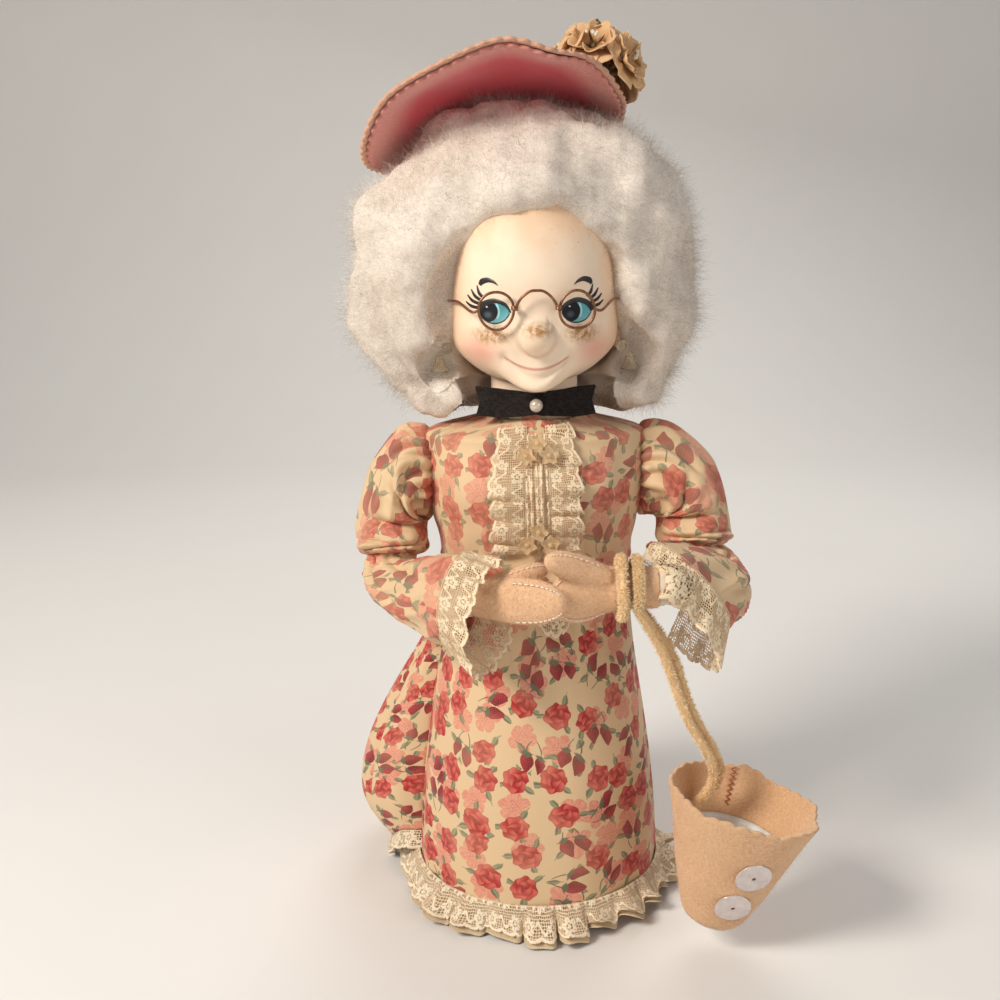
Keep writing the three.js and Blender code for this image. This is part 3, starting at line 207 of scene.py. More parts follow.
def cloth_uv(points, wrap=False):
    """UV in centimetres: lengths measured along one row and one column near the sheet's middle."""
    across = points[:, points.shape[1] // 2]
    down = points[points.shape[0] // 3]
    across = np.concatenate([across, across[:1]]) if wrap else across

    def run(p):
        return np.concatenate([[0], np.cumsum(np.linalg.norm(np.diff(p, axis=0), axis=1))]) / 10

    return np.stack(np.meshgrid(run(across), -run(down), indexing="ij"), -1)


def ball_faces(nu, nv):
    """Faces of a closed round body: nv rings of nu points, then a bottom and a top pole."""
    rings = grid_faces(nu, nv, wrap=True)
    i = np.arange(nu)
    k = (i + 1) % nu
    low = np.stack([np.full(nu, nu * nv), k * nv, i * nv], -1)
    high = np.stack([np.full(nu, nu * nv + 1), i * nv + nv - 1, k * nv + nv - 1], -1)
    return [rings, np.concatenate([low, high])]


def ball(centre, half, nu=24, nv=14):
    """Points and faces of an ellipsoid about a centre."""
    turn = np.arange(nu)[:, None] / nu * TAU
    rise = (np.arange(1, nv + 1)[None] / (nv + 1) - 0.5) * math.pi
    rings = stack(np.cos(turn) * np.cos(rise), np.sin(turn) * np.cos(rise), np.sin(rise)).reshape(-1, 3)
    points = np.concatenate([rings, [[0, 0, -1], [0, 0, 1]]]) * half + centre
    return points, ball_faces(nu, nv)


def turned(profile, nu, closed=False):
    """Points and faces swept round Z by a profile of (radius, height) rows, from the bottom outward."""
    profile = np.asarray(profile, float)
    turn = np.arange(nu)[:, None] / nu * TAU
    points = about_z(profile[:, 0], turn, profile[:, 1])
    rows = len(profile)
    faces = grid_faces(nu, rows, wrap=True)
    if closed:
        i = np.arange(nu) * rows
        k = np.roll(i, -1)
        faces = np.concatenate([faces, np.stack([i + rows - 1, k + rows - 1, k, i], -1)])
    return points.reshape(-1, 3), [faces]


def lathe(profile, nu):
    """A closed turned body: the profile runs from one point on the axis, outside, to another."""
    profile = np.asarray(profile, float)
    rings, _ = turned(profile[1:-1], nu)
    ends = [[0, 0, profile[0, 1]], [0, 0, profile[-1, 1]]]
    return np.concatenate([rings, ends]), ball_faces(nu, len(profile) - 2)


def merged(parts):
    """Several (points, faces) bodies as one."""
    points, quads, tris, start = [], [], [], 0
    for p, faces in parts:
        for f in faces:
            (quads if f.shape[1] == 4 else tris).append(f + start)
        points.append(p.reshape(-1, 3))
        start += len(points[-1])
    faces = [np.concatenate(f) for f in (quads, tris) if f]
    return np.concatenate(points), faces


def frames_along(path):
    """Two cross directions at each point of paths (..., n, 3), turned as little as can be."""
    along = unit(np.gradient(path, axis=-2))
    first = np.where(np.abs(along[..., :1, 2:]) < 0.8, [0.0, 0.0, 1.0], [1.0, 0.0, 0.0])
    sides = [unit(np.cross(along[..., 0, :], first[..., 0, :]))]
    for i in range(1, path.shape[-2]):
        a = along[..., i, :]
        side = sides[-1] - a * np.sum(sides[-1] * a, -1, keepdims=True)
        sides.append(unit(side))
    side = np.stack(sides, -2)
    return side, np.cross(along, side)


def tubes(paths, radius, sides=8):
    """Points and faces of closed-ended tubes along paths (count, n, 3); radius may vary along them."""
    paths = np.asarray(paths, float)
    paths = paths[None] if paths.ndim == 2 else paths
    count, n = paths.shape[:2]
    side, up = frames_along(paths)
    radius = np.broadcast_to(radius, (count, n))[:, None, :, None]
    turn = (np.arange(sides) / sides * TAU)[None, :, None, None]
    rings = paths[:, None] + radius * (np.cos(turn) * side[:, None] + np.sin(turn) * up[:, None])
    ends = np.stack([paths[:, 0], paths[:, -1]], 1)
    points = np.concatenate([rings.reshape(count, -1, 3), ends], 1)
    per = sides * n + 2
    quads, tris = ball_faces(sides, n)
    shift = (np.arange(count) * per)[:, None, None]
    return points.reshape(-1, 3), [(quads + shift).reshape(-1, 4), (tris + shift).reshape(-1, 3)]


def section(centre, along, outer, half_out, half_across):
    """One cross section of a loft: its centre and its two half axes as vectors."""
    axis = unit(along)
    outer = np.asarray(outer, float)
    out = unit(outer - axis * np.dot(outer, axis))
    return np.concatenate([centre, out * half_out, np.cross(axis, out) * half_across])


def loft(sections, t, turn, swell=1.0):
    """Points of a loft: the sections change smoothly along t, and turn goes round from the outer side."""
    rows = curve_through(sections, t)
    round_x, round_y = np.cos(TAU * turn)[..., None], np.sin(TAU * turn)[..., None]
    swell = np.asarray(swell)[..., None] if np.ndim(swell) else swell
    return rows[..., :3] + swell * (rows[..., 3:6] * round_x + rows[..., 6:] * round_y)


def rot_y(p, degrees):
    """Points turned about Y."""
    c, s = math.cos(math.radians(degrees)), math.sin(math.radians(degrees))
    return stack(c * p[..., 0] + s * p[..., 2], p[..., 1], c * p[..., 2] - s * p[..., 0])


def rot_x(p, degrees):
    """Points turned about X."""
    c, s = math.cos(math.radians(degrees)), math.sin(math.radians(degrees))
    return stack(p[..., 0], c * p[..., 1] - s * p[..., 2], s * p[..., 1] + c * p[..., 2])


def fibres(roots, aims, length, width, bend, seed, facing=None):
    """Fine tapering ribbons from roots along aims, bent sideways, as points, faces and share along."""
    rng = np.random.default_rng(seed)
    count = len(roots)
    aims = unit(aims)
    sway = unit(np.cross(aims, rng.normal(size=(count, 3))))
    flat = np.cross(aims, sway) if facing is None else unit(np.cross(aims, facing))
    t = np.linspace(0, 1, FIBRE_STEPS + 1)[None, :, None]
    length = np.broadcast_to(length, count)[:, None, None]
    spine = roots[:, None] + length * (aims[:, None] * t + sway[:, None] * bend * t * t)
    half = width * 0.5 * (1 - 0.75 * t) * flat[:, None]
    points = np.stack([spine - half, spine + half], 2)
    k = np.arange(FIBRE_STEPS) * 2
    one = np.stack([k, k + 1, k + 3, k + 2], -1)
    faces = (one[None] + (np.arange(count) * FIBRE_POINTS)[:, None, None]).reshape(-1, 4)
    return points.reshape(-1, 3), [faces], np.broadcast_to(t[..., None], points[..., :1].shape).ravel()


def baked(obj, name):
    """Applies the object's modifiers and returns its new mesh."""
    graph = bpy.context.evaluated_depsgraph_get()
    mesh = bpy.data.meshes.new_from_object(obj.evaluated_get(graph))
    mesh.name = name
    obj.modifiers.clear()
    old = obj.data
    obj.data = mesh
    bpy.data.meshes.remove(old)
    return mesh


def mesh_points(mesh):
    """Points and point normals of a mesh, in millimetres."""
    points = np.empty(len(mesh.vertices) * 3, np.float32)
    mesh.vertices.foreach_get("co", points)
    normals = np.empty(len(mesh.vertices) * 3, np.float32)
    mesh.vertices.foreach_get("normal", normals)
    return points.reshape(-1, 3).astype(float) / MM, normals.reshape(-1, 3).astype(float)


def scatter(mesh, count, seed):
    """Seeded points spread evenly over a mesh of triangles, with the face normal at each."""
    mesh.calc_loop_triangles()
    corners = np.empty(len(mesh.loop_triangles) * 3, np.int32)
    mesh.loop_triangles.foreach_get("vertices", corners)
    points, _ = mesh_points(mesh)
    a, b, c = np.moveaxis(points[corners.reshape(-1, 3)], 1, 0)
    normal = np.cross(b - a, c - a)
    area = np.linalg.norm(normal, axis=1)
    rng = np.random.default_rng(seed)
    pick = rng.choice(len(area), count, p=area / area.sum())
    s, t = rng.random((2, count, 1))
    fold = s + t > 1
    s, t = np.where(fold, 1 - s, s), np.where(fold, 1 - t, t)
    return a[pick] + s * (b - a)[pick] + t * (c - a)[pick], unit(normal[pick])


def dress(obj, body, material, slot, *nodes):
    """Gives a finished piece its material and slot, has it ride on a body and stand for CAD nodes."""
    obj.data.materials.clear()
    obj.data.materials.append(material)
    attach(obj, body)
    if nodes:
        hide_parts(*nodes)
    return obj


# Shader work: a small writer for node trees, then the shared groups


class Wire:
    """An output socket; arithmetic on it adds Math nodes."""

    def __init__(self, net, socket):
        self.net = net
        self.socket = socket

    def __add__(self, other):
        return self.net.math("ADD", self, other)

    def __sub__(self, other):
        return self.net.math("SUBTRACT", self, other)

    def __rsub__(self, other):
        return self.net.math("SUBTRACT", other, self)

    def __mul__(self, other):
        return self.net.math("MULTIPLY", self, other)

    def __truediv__(self, other):
        return self.net.math("DIVIDE", self, other)

    __radd__ = __add__
    __rmul__ = __mul__


class Net:
    """Adds nodes to a tree and links them as they are made."""

    def __init__(self, tree):
        self.tree = tree

    def node(self, kind, **settings):
        made = self.tree.nodes.new("ShaderNode" + kind)
        for key, value in settings.items():
            setattr(made, key, value)
        return made

    def put(self, socket, value):
        if isinstance(value, Wire):
            self.tree.links.new(value.socket, socket)
        elif isinstance(value, tuple) and len(value) == 3 and socket.type == "RGBA":
            socket.default_value = (*value, 1)
        else:
            socket.default_value = value

    def out(self, node, name):
        return Wire(self, node.outputs[name])

    def add(self, kind, output, inputs, **settings):
        """A node with its inputs filled, by name or by number, as the wire of one output."""
        made = self.node(kind, **settings)
        for key, value in inputs.items():
            self.put(made.inputs[key], value)
        return self.out(made, output)

    def math(self, kind, *values):
        return self.add("Math", "Value", dict(enumerate(values)), operation=kind)

    def highest(self, a, b):
        return self.math("MAXIMUM", a, b)

    def size(self, a):
        return self.math("ABSOLUTE", a)

    def wave(self, a):
        return self.math("SINE", a)

    def far(self, x, y):
        """Distance from the middle."""
        return self.math("SQRT", x * x + y * y)

    def rise(self, a, start, end):
        """Smooth step of a from start to end; it falls where end is below start."""
        up = start < end
        low, high = (start, end) if up else (end, start)
        ends = {"From Min": low, "From Max": high, "To Min": float(not up), "To Max": float(up)}
        return self.add("MapRange", "Result", {"Value": a, **ends}, interpolation_type="SMOOTHSTEP")

    def mix(self, share, a, b, kind="MIX"):
        return self.add("Mix", 2, {0: share, 6: a, 7: b}, data_type="RGBA", blend_type=kind)

    def noise(self, place, scale, detail=3.0, rough=0.55):
        inputs = {"Vector": place, "Scale": scale, "Detail": detail, "Roughness": rough}
        return self.add("TexNoise", "Fac", inputs)

    def cells(self, place, scale, output="Distance", feature="F1", random=1.0):
        inputs = {"Vector": place, "Scale": scale, "Randomness": random}
        return self.add("TexVoronoi", output, inputs, feature=feature, voronoi_dimensions="2D")

    def split(self, vector):
        made = self.node("SeparateXYZ")
        self.put(made.inputs[0], vector)
        return [self.out(made, i) for i in range(3)]

    def join(self, x, y, z=0.0):
        return self.add("CombineXYZ", "Vector", {0: x, 1: y, 2: z})

    def shift(self, kind, a, b):
        return self.add("VectorMath", "Vector", {0: a, 1: b}, operation=kind)

    def spin(self, vector, angle):
        inputs = {"Vector": vector, "Angle": angle}
        return self.add("VectorRotate", "Vector", inputs, rotation_type="Z_AXIS")

    def bump(self, height, depth, strength):
        return self.add("Bump", "Normal", {"Strength": strength, "Distance": depth, "Height": height})

    def coat(self, colour, height, depth, strength):
        """Colour and bump as inputs of a surface."""
        return {"Base Color": colour, "Normal": self.bump(height, depth, strength)}

    def use(self, group, **values):
        made = self.node("Group")
        made.node_tree = group
        for name, value in values.items():
            self.put(made.inputs[name.replace("_", " ")], value)
        return {o.name: self.out(made, o.name) for o in made.outputs}


KINDS = {"colour": "NodeSocketColor", "value": "NodeSocketFloat", "vector": "NodeSocketVector"}


def shared(name, build, takes, gives):
    """A node group made once: build gets the writer and the input wires and returns the output wires."""
    if name in bpy.data.node_groups:
        return bpy.data.node_groups[name]
    tree = bpy.data.node_groups.new(name, "ShaderNodeTree")
    for key, (kind, value) in takes.items():
        socket = tree.interface.new_socket(key, in_out="INPUT", socket_type=KINDS[kind])
        if value is not None:
            socket.default_value = (*value, 1) if kind == "colour" else value
    for key, kind in gives.items():
        tree.interface.new_socket(key, in_out="OUTPUT", socket_type=KINDS[kind])
    net = Net(tree)
    start = tree.nodes.new("NodeGroupInput")
    end = tree.nodes.new("NodeGroupOutput")
    made = build(net, {s.name: Wire(net, s) for s in start.outputs if s.name})
    for key, wire in made.items():
        tree.links.new(wire.socket, end.inputs[key])
    return tree


def calico_group():
    """Rose calico in two layers of uneven cells: pale blossoms behind, roses and berry sprays before."""

    def build(net, given):
        place = given["Cloth"]
        wander = net.noise(place, 0.9, 1.0) - 0.5
        place = net.shift("ADD", place, net.join(wander * 0.4, wander * -0.35))
        ragged = net.noise(place, 7.0, 2.0) - 0.5
        grain = net.noise(place, 22.0, 2.0)
        deep_red = (0.26, 0.015, 0.016)

        def motif(shift, scale, random):
            """Each cell's random number and tint, and the place, radius and angle about its middle."""
            spot = net.shift("ADD", place, shift)
            pick, turn, tint = net.split(net.cells(spot, scale, "Color", random=random))
            middle = net.cells(spot, scale, "Position", random=random)
            local = net.spin(net.shift("SUBTRACT", spot, middle), turn * TAU)
            x, y, _ = net.split(local)
            return pick, tint, local, x, y, net.far(x, y), net.math("ARCTAN2", y, x)

        def leaves(colour, r, angle, tint, middle):
            """Three veined leaves that point out from the motif."""
            fold = net.math("FRACT", angle * (3 / TAU) + 0.5 + tint) - 0.5
            fold = fold * (TAU / 3)
            along = r * net.math("COSINE", fold)
            side = r * net.wave(fold)
            across = net.size(side) + ragged * 0.06
            off = (along - middle) / 0.27
            leaf = net.rise(across - 0.12 * (1.0 - off * off), 0.02, -0.02)
            stem = net.rise(across, 0.03, 0.012) * net.rise(along, 1.15, 1.0) * net.rise(along, 0.3, 0.4)
            tone = net.mix(net.rise(side, -0.02, 0.03), given["Leaf"], (0.22, 0.25, 0.13))
            tone = net.mix(net.rise(across, 0.03, 0.01) * 0.5, tone, (0.40, 0.40, 0.24))
            return net.mix(net.highest(leaf, stem) * 0.9, colour, tone)

        pick, tint, local, x, y, r, angle = motif((3.7, 1.9, 0.0), 0.62, 0.75)
        lobes = net.size(net.math("COSINE", angle * 2.5))
        edge = 0.40 + 0.24 * net.math("POWER", lobes, 0.5) + ragged * 0.12
        flat = net.rise(r - edge, 0.02, -0.02)
        streak = net.noise(net.join(angle * 4.0, r * 1.5), 2.2, 2.0)
        tone = net.mix(net.rise(streak, 0.25, 0.8), given["Pink"], given["Coral"])
        tone = net.mix(net.rise(r - edge, -0.1, 0.0) * 0.4, tone, given["Coral"])
        dots = net.rise(net.cells(local, 8.0, random=0.9), 0.28, 0.16)
        tone = net.mix(dots * net.rise(r, 0.34, 0.2) * 0.8, tone, given["Red"])
        tone = net.mix(net.rise(lobes, 0.14, 0.04) * 0.5, tone, given["Coral"])
        colour = net.mix(flat * net.math("LESS_THAN", pick, 0.8) * 0.78, given["Ground"], tone)

        pick, tint, local, x, y, r, angle = motif((0.0, 0.0, 0.0), 0.68, 0.62)
        colour = leaves(colour, r, angle, tint, 0.68)
        is_rose = net.math("LESS_THAN", pick, 0.62)
        edge = 0.53 + 0.035 * net.wave(angle * 7.0 + tint * 9.0) + ragged * 0.1
        rose = net.rise(r - edge, 0.015, -0.015)
        outer = net.math("FRACT", angle * (5 / TAU) + r * 1.1 + tint)
        inner = net.math("FRACT", angle * (3 / TAU) - r * 1.8 + tint * 3.0)
        ring = net.rise(r + ragged * 0.16, 0.29, 0.33)
        curl = inner + (outer - inner) * ring
        shade = net.rise(curl + (grain - 0.5) * 0.5, 0.15, 0.9)
        tone = net.mix(shade, given["Red"], given["Coral"])
        groove = net.rise(net.size(r + ragged * 0.16 - 0.30), 0.045, 0.0)
        tone = net.mix(groove * 0.55, tone, deep_red)
        tone = net.mix(net.rise(y + x * 0.4, 0.0, 0.5) * 0.35, tone, (0.80, 0.29, 0.21))
        tone = net.mix(net.rise(r, 0.2, 0.05) * 0.7, tone, deep_red)
        tone = net.mix(net.rise(r - edge, -0.07, 0.0) * 0.5, tone, (0.30, 0.02, 0.02))
        colour = net.mix(rose * is_rose, colour, tone)

        side = net.size(x) - 0.31
        down = y + 0.1 + net.size(x) * 0.25 + x * 0.3
        wide = side / (0.30 - 0.15 * net.rise(down, 0.12, -0.4))
        tall = down / 0.40
        berry = net.rise(wide * wide + tall * tall + ragged * 0.2, 1.05, 0.92)
        seeds = net.rise(net.cells(local, 11.0, random=0.35), 0.24, 0.12)
        tone = net.mix(net.rise(side + ragged * 0.2, -0.15, 0.15), given["Berry"], (0.36, 0.03, 0.04))
        tone = net.mix(seeds * 0.25, tone, (0.70, 0.34, 0.2))
        star = net.rise(net.size(down - 0.37) + net.size(side) * 0.5 + ragged * 0.1, 0.17, 0.1)
        bow = net.size(x) - 0.31 + (y - 0.3) * (y - 0.3) * 0.9
        stalk = net.rise(net.size(bow), 0.035, 0.015) * net.rise(y, 0.24, 0.3) * net.rise(y, 0.82, 0.74)
        green = net.highest(star, stalk)
        tone = net.mix(green, tone, given["Leaf"])
        colour = net.mix(net.highest(berry, green) * (1.0 - is_rose), colour, tone)

        across, along, _ = net.split(place)
        weave = net.highest(net.wave(across * 150.0), net.wave(along * 150.0)) * 0.5 + grain * 0.8
        faded = net.rise(net.noise(place, 0.45, 4.0), 0.35, 0.8)
        colour = net.mix(faded * 0.22 + given["Fade"], colour, given["Ground"])
        colour = net.mix(0.5, colour, net.mix(weave * 0.3, (1.0, 1.0, 1.0), (0.8, 0.76, 0.72)), "MULTIPLY")
        return {"Color": colour, "Height": weave}

    takes = {
        "Cloth": ("vector", None),
        "Ground": ("colour", (0.74, 0.53, 0.33)),
        "Red": ("colour", (0.42, 0.022, 0.024)),
        "Coral": ("colour", (0.66, 0.13, 0.095)),
        "Pink": ("colour", (0.80, 0.36, 0.26)),
        "Berry": ("colour", (0.22, 0.014, 0.022)),
        "Leaf": ("colour", (0.12, 0.14, 0.085)),
        "Fade": ("value", 0.0),
    }
    return shared("rose calico", build, takes, {"Color": "colour", "Height": "value"})


def lace_group():
    """Lace edging: a fine net, rows of flowers joined by scrolls, and a scalloped corded edge at y 0."""

    def build(net, given):
        x, y, _ = net.split(given["Cloth"])
        y = net.size(y)
        scallop = 0.14 * net.size(net.wave(x * (math.pi / 0.62)))
        inside = y - 0.17 + scallop
        pattern = net.join(x, y)
        holes = net.cells(pattern, 9.0, feature="DISTANCE_TO_EDGE", random=0.35)
        mesh = net.rise(holes, 0.2, 0.12)
        row = net.math("FLOOR", (y - 0.12) / 0.82)
        repeat = net.math("FRACT", x / 1.24 + row * 0.5) * 1.24 - 0.62
        rows = net.math("FRACT", (y - 0.12) / 0.82) * 0.82 - 0.41
        r = net.far(repeat, rows)
        angle = net.math("ARCTAN2", rows, repeat)
        petals = 0.2 + 0.17 * net.size(net.wave(angle * 2.5))
        flower = net.rise(r - petals, 0.02, -0.02) * net.rise(net.size(r - 0.11), 0.015, 0.04)
        flower = flower * net.rise(net.size(net.math("COSINE", angle * 2.5)), 0.04, 0.14)
        scroll = net.size(rows + 0.2 * net.wave(x * (TAU / 0.62)))
        leaf = net.rise(scroll, 0.09, 0.055) * net.rise(net.size(repeat), 0.3, 0.38)
        cord = net.rise(net.size(inside - 0.03), 0.085, 0.055)
        loops = net.cells(net.join(x, inside * 0.6), 6.0, random=0.0)
        picot = net.rise(loops, 0.42, 0.3) * net.rise(net.size(inside + 0.03), 0.08, 0.05)
        solid = net.highest(net.highest(flower, leaf), net.highest(cord, picot))
        alpha = net.highest(mesh * given["Net"], solid) * net.rise(inside + 0.09, 0.0, 0.02)
        grain = net.noise(pattern, 45.0, 2.0)
        colour = net.mix(net.noise(pattern, 1.3, 3.0), given["Thread"], given["Shade"])
        colour = net.mix(solid * 0.6, colour, given["Cord"])
        colour = net.mix(grain * 0.25, colour, (0.8, 0.69, 0.56), "MULTIPLY")
        return {"Color": colour, "Alpha": alpha, "Height": solid * 0.8 + grain * 0.35}

    takes = {
        "Cloth": ("vector", None),
        "Thread": ("colour", (0.90, 0.72, 0.52)),
        "Shade": ("colour", (0.78, 0.55, 0.38)),
        "Cord": ("colour", (0.95, 0.84, 0.68)),
        "Net": ("value", 1.0),
    }
    return shared("lace", build, takes, {"Color": "colour", "Alpha": "value", "Height": "value"})


def felt_group():
    """Pressed felt: matted fibres in three sizes, with slow patches of fading."""

    def build(net, given):
        place = given["Place"]
        squeezed = net.shift("MULTIPLY", place, (1.0, 0.25, 1.0))
        other = net.shift("MULTIPLY", place, (0.25, 1.0, 0.4))
        mat = net.noise(squeezed, 2600.0, 3.0) + net.noise(other, 2300.0, 3.0)
        patch = net.noise(place, 90.0, 3.0)
        colour = net.mix(net.rise(mat, 0.7, 1.3), given["Dark"], given["Light"])
        colour = net.mix(net.rise(patch, 0.35, 0.75) * 0.35, colour, given["Dark"])
        return {"Color": colour, "Height": mat * 0.5 + patch * 0.2}

    takes = {
        "Place": ("vector", None),
        "Light": ("colour", (0.8, 0.5, 0.3)),
        "Dark": ("colour", (0.6, 0.35, 0.2)),
    }
    return shared("felt", build, takes, {"Color": "colour", "Height": "value"})


def material(name, build, rough=0.7, **constants):
    """A material made once: build gets the writer and returns wires for the surface's inputs."""
    name += " finish"
    if name in bpy.data.materials:
        return bpy.data.materials[name]
    made = bpy.data.materials.new(name)
    made.use_nodes = True
    net = Net(made.node_tree)
    made.node_tree.nodes.clear()
    surface = net.node("BsdfPrincipled")
    surface.inputs["Roughness"].default_value = rough
    end = net.node("OutputMaterial")
    made.node_tree.links.new(surface.outputs[0], end.inputs["Surface"])
    for key, value in constants.items():
        surface.inputs[key.replace("_", " ")].default_value = value
    for key, wire in build(net).items():
        net.put(surface.inputs[key], wire)
    return made


def cloth_place(net):
    """The place on the flat cloth, in centimetres."""
    return net.out(net.node("UVMap", uv_map="UVMap"), "UV")


def solid_place(net):
    """The place in space, in metres."""
    return net.out(net.node("TexCoord"), "Object")


def printed_cotton(name="printed cotton", fade=0.0):
    """The rose calico with its weave; fade draws the print back into the ground."""

    def build(net):
        made = net.use(calico_group(), Cloth=cloth_place(net), Ground=tuple(colours().cotton), Fade=fade)
        return net.coat(made["Color"], made["Height"], 0.0001, 0.35)

    return material(name, build, 0.62, Specular_IOR_Level=0.28, Sheen_Weight=0.1)


def faded_cotton():
    return printed_cotton("faded cotton", 0.2)


def lace(name, thread=(0.90, 0.72, 0.48), shade=(0.80, 0.59, 0.37), cord=(0.95, 0.82, 0.61)):
    """Lace whose holes are clear, in thread of three tones."""

    def build(net):
        made = net.use(lace_group(), Cloth=cloth_place(net), Thread=thread, Shade=shade, Cord=cord)
        normal = net.bump(made["Height"], 0.0003, 0.6)
        return {"Base Color": made["Color"], "Alpha": made["Alpha"], "Normal": normal}

    return material(name, build, 0.85, Specular_IOR_Level=0.2)


def felt(name, light, dark, sheen=0.2):
    """Matt pressed felt in two tones."""

    def build(net):
        made = net.use(felt_group(), Place=solid_place(net), Light=light, Dark=dark)
        return net.coat(made["Color"], made["Height"], 0.0003, 0.7)

    return material(name, build, 0.95, Specular_IOR_Level=0.1, Sheen_Weight=sheen, Sheen_Roughness=0.6)


def fluff(name, root, tip, rough=0.9, **constants):
    """Loose fibre: darker at the root, paler at the tip, uneven from place to place."""

    def build(net):
        along = net.out(net.node("Attribute", attribute_name="along"), "Fac")
        tone = net.noise(solid_place(net), 24.0, 4.0)
        # Painted shade: the pile shades its own roots, so the colour runs from a darker root to a pale tip.
        colour = net.mix(along, root, tip)
        colour = net.mix(net.rise(tone, 0.38, 0.68) * 0.6, colour, root)
        return {"Base Color": colour}

    return material(name, build, rough, Specular_IOR_Level=0.15, **constants)


def mottled(name, light, dark, scale=120.0, depth=0.0001, rough=0.5, **constants):
    """A plain surface with two tones and a little unevenness."""

    def build(net):
        tone = net.noise(solid_place(net), scale, 4.0)
        fine = net.noise(solid_place(net), scale * 9, 2.0)
        colour = net.mix(net.rise(tone, 0.3, 0.7), light, dark)
        return net.coat(colour, tone + fine * 0.3, depth, 0.4)

    return material(name, build, rough, **constants)


def colours():
    return bpy.context.scene.doll_colours


def sizes():
    return bpy.context.scene.doll_sizes


# Shapes that several pieces share, in millimetres


HEM_Z = 10.6
WAIST_Z = 150.0
SHOULDER_X = 46.4
CHEST_Y = 40.5
ARM_Z = 188.0
BOW_Z = 219.8


def skirt_radius(z):
    """The skirt's outside: a soft bell over the card form."""
    return 39.1 + 14 * (1 - ease(np.clip(z / WAIST_Z, 0, 1) ** 1.25))


def bodice_half(z):
    """Half width and half depth of the bodice at a height, eased between four stations."""
    stations = [150, 186, 205, 213]
    spot = np.interp(z, stations, [0, 1, 2, 3])
    eased = np.floor(spot) + ease(spot - np.floor(spot))
    side = np.interp(eased, [0, 1, 2, 3], [39.5, 45, 46, 22.2])
    front = np.interp(eased, [0, 1, 2, 3], [39.5, 40.5, 31, 22.2])
    return side, front


def chest_y(x, z):
    """Where the bodice's front lies, for a place seen from the front."""
    side, front = bodice_half(z)
    return -front * np.sqrt(np.clip(1 - (x / side) ** 2, 0.02, 1))


def uneven(u, folds, seed):
    """Phase of a row of folds that are not all the same width."""
    rng = np.random.default_rng(seed)
    drift = sum(rng.uniform(0.3, 0.8) * np.sin(TAU * k * u + rng.uniform(0, TAU)) for k in (1, 2, 3, 5))
    return TAU * folds * u + drift


# Pieces of the dress


def build_skirt():
    """Radius follows the bell; tiny gathers under the waist fade downwards into slow folds."""
    nu, nv = 300, 90
    u, v = ring_grid(nu, nv)
    z = 2.5 + 147.5 * v
    gather = 0.45 * ease((z - 95) / 55) * (1 + np.sin(uneven(u, 44, 3)))
    slow = 0.5 * (1 + np.sin(uneven(u, 9, 4) + 0.6 * v)) * (1 - v)
    r = skirt_radius(z) - 0.4 + gather + slow
    points = about_z(r, TAU * u, z)
    uv = ring_uv(nu, TAU * 4.6, np.linspace(0, 14.75, nv))
    obj = cloth("skirt_cloth", points, uv, wrap=True, thick=0.7)
    dress(obj, "figure", printed_cotton(), "printed_cotton", "skirt")


def hem_sheet(name, reach, lift):
    """A frill from the skirt to the table: folds grow with the fall and lean unevenly."""
    nu, nv = 720, 18
    u, v = ring_grid(nu, nv)
    phase = uneven(u, 26, 12)
    depth = 1.05 + 0.75 * np.sin(uneven(u, 7, 17))
    wave = depth * (1 + np.sin(phase) + 0.4 * np.sin(2 * phase + 1.3 * np.sin(TAU * 3 * u)))
    fall = v ** 0.75
    r = skirt_radius(HEM_Z) + 0.8 + fall * (reach + 2.3 * wave)
    turn = TAU * u - 0.03 * fall * np.cos(phase)
    curl = v ** 3 * (1 + np.sin(phase + 1.2)) * (1 + 0.9 * np.sin(uneven(u, 5, 21)))
    z = 0.7 + lift + HEM_Z * (1 - v) + 1.2 * v * (1 - v) * np.sin(phase * 0.5 + 1) + 1.7 * curl
    points = about_z(r, turn, z)
    uv = ring_uv(nu, 58.0, HEM_Z * 0.115 * (1 - np.linspace(0, 1, nv)))
    return cloth(name, points, uv, wrap=True, flip=True, thick=0.35)


def hem_lace():
    return lace("hem lace", (0.90, 0.76, 0.55), (0.79, 0.61, 0.40), (0.96, 0.86, 0.68))


def build_hem():
    """A tan ribbon frill with a lace frill over it."""

    def ribbon(net):
        x, y, _ = net.split(cloth_place(net))
        rib = net.wave(x * 90.0) * 0.5 + net.wave(y * 260.0) * 0.4
        tone = net.noise(cloth_place(net), 1.5, 3.0)
        colour = net.mix(tone, (0.80, 0.62, 0.39), (0.64, 0.45, 0.25))
        colour = net.mix(net.rise(net.size(y - 0.05), 0.05, 0.03) * 0.5, colour, (0.86, 0.70, 0.48))
        return net.coat(colour, rib + tone, 0.0002, 0.6)

    frill = hem_sheet("hem_ribbon_frill", 5.2, 0)
    dress(frill, "figure", material("tan ribbon", ribbon, 0.55, Sheen_Weight=0.3), "ribbon", "hem_ruffle")
    edge = hem_sheet("hem_lace_frill", 5.4, 2.6)
    dress(edge, "figure", hem_lace(), "lace", "hem_lace")


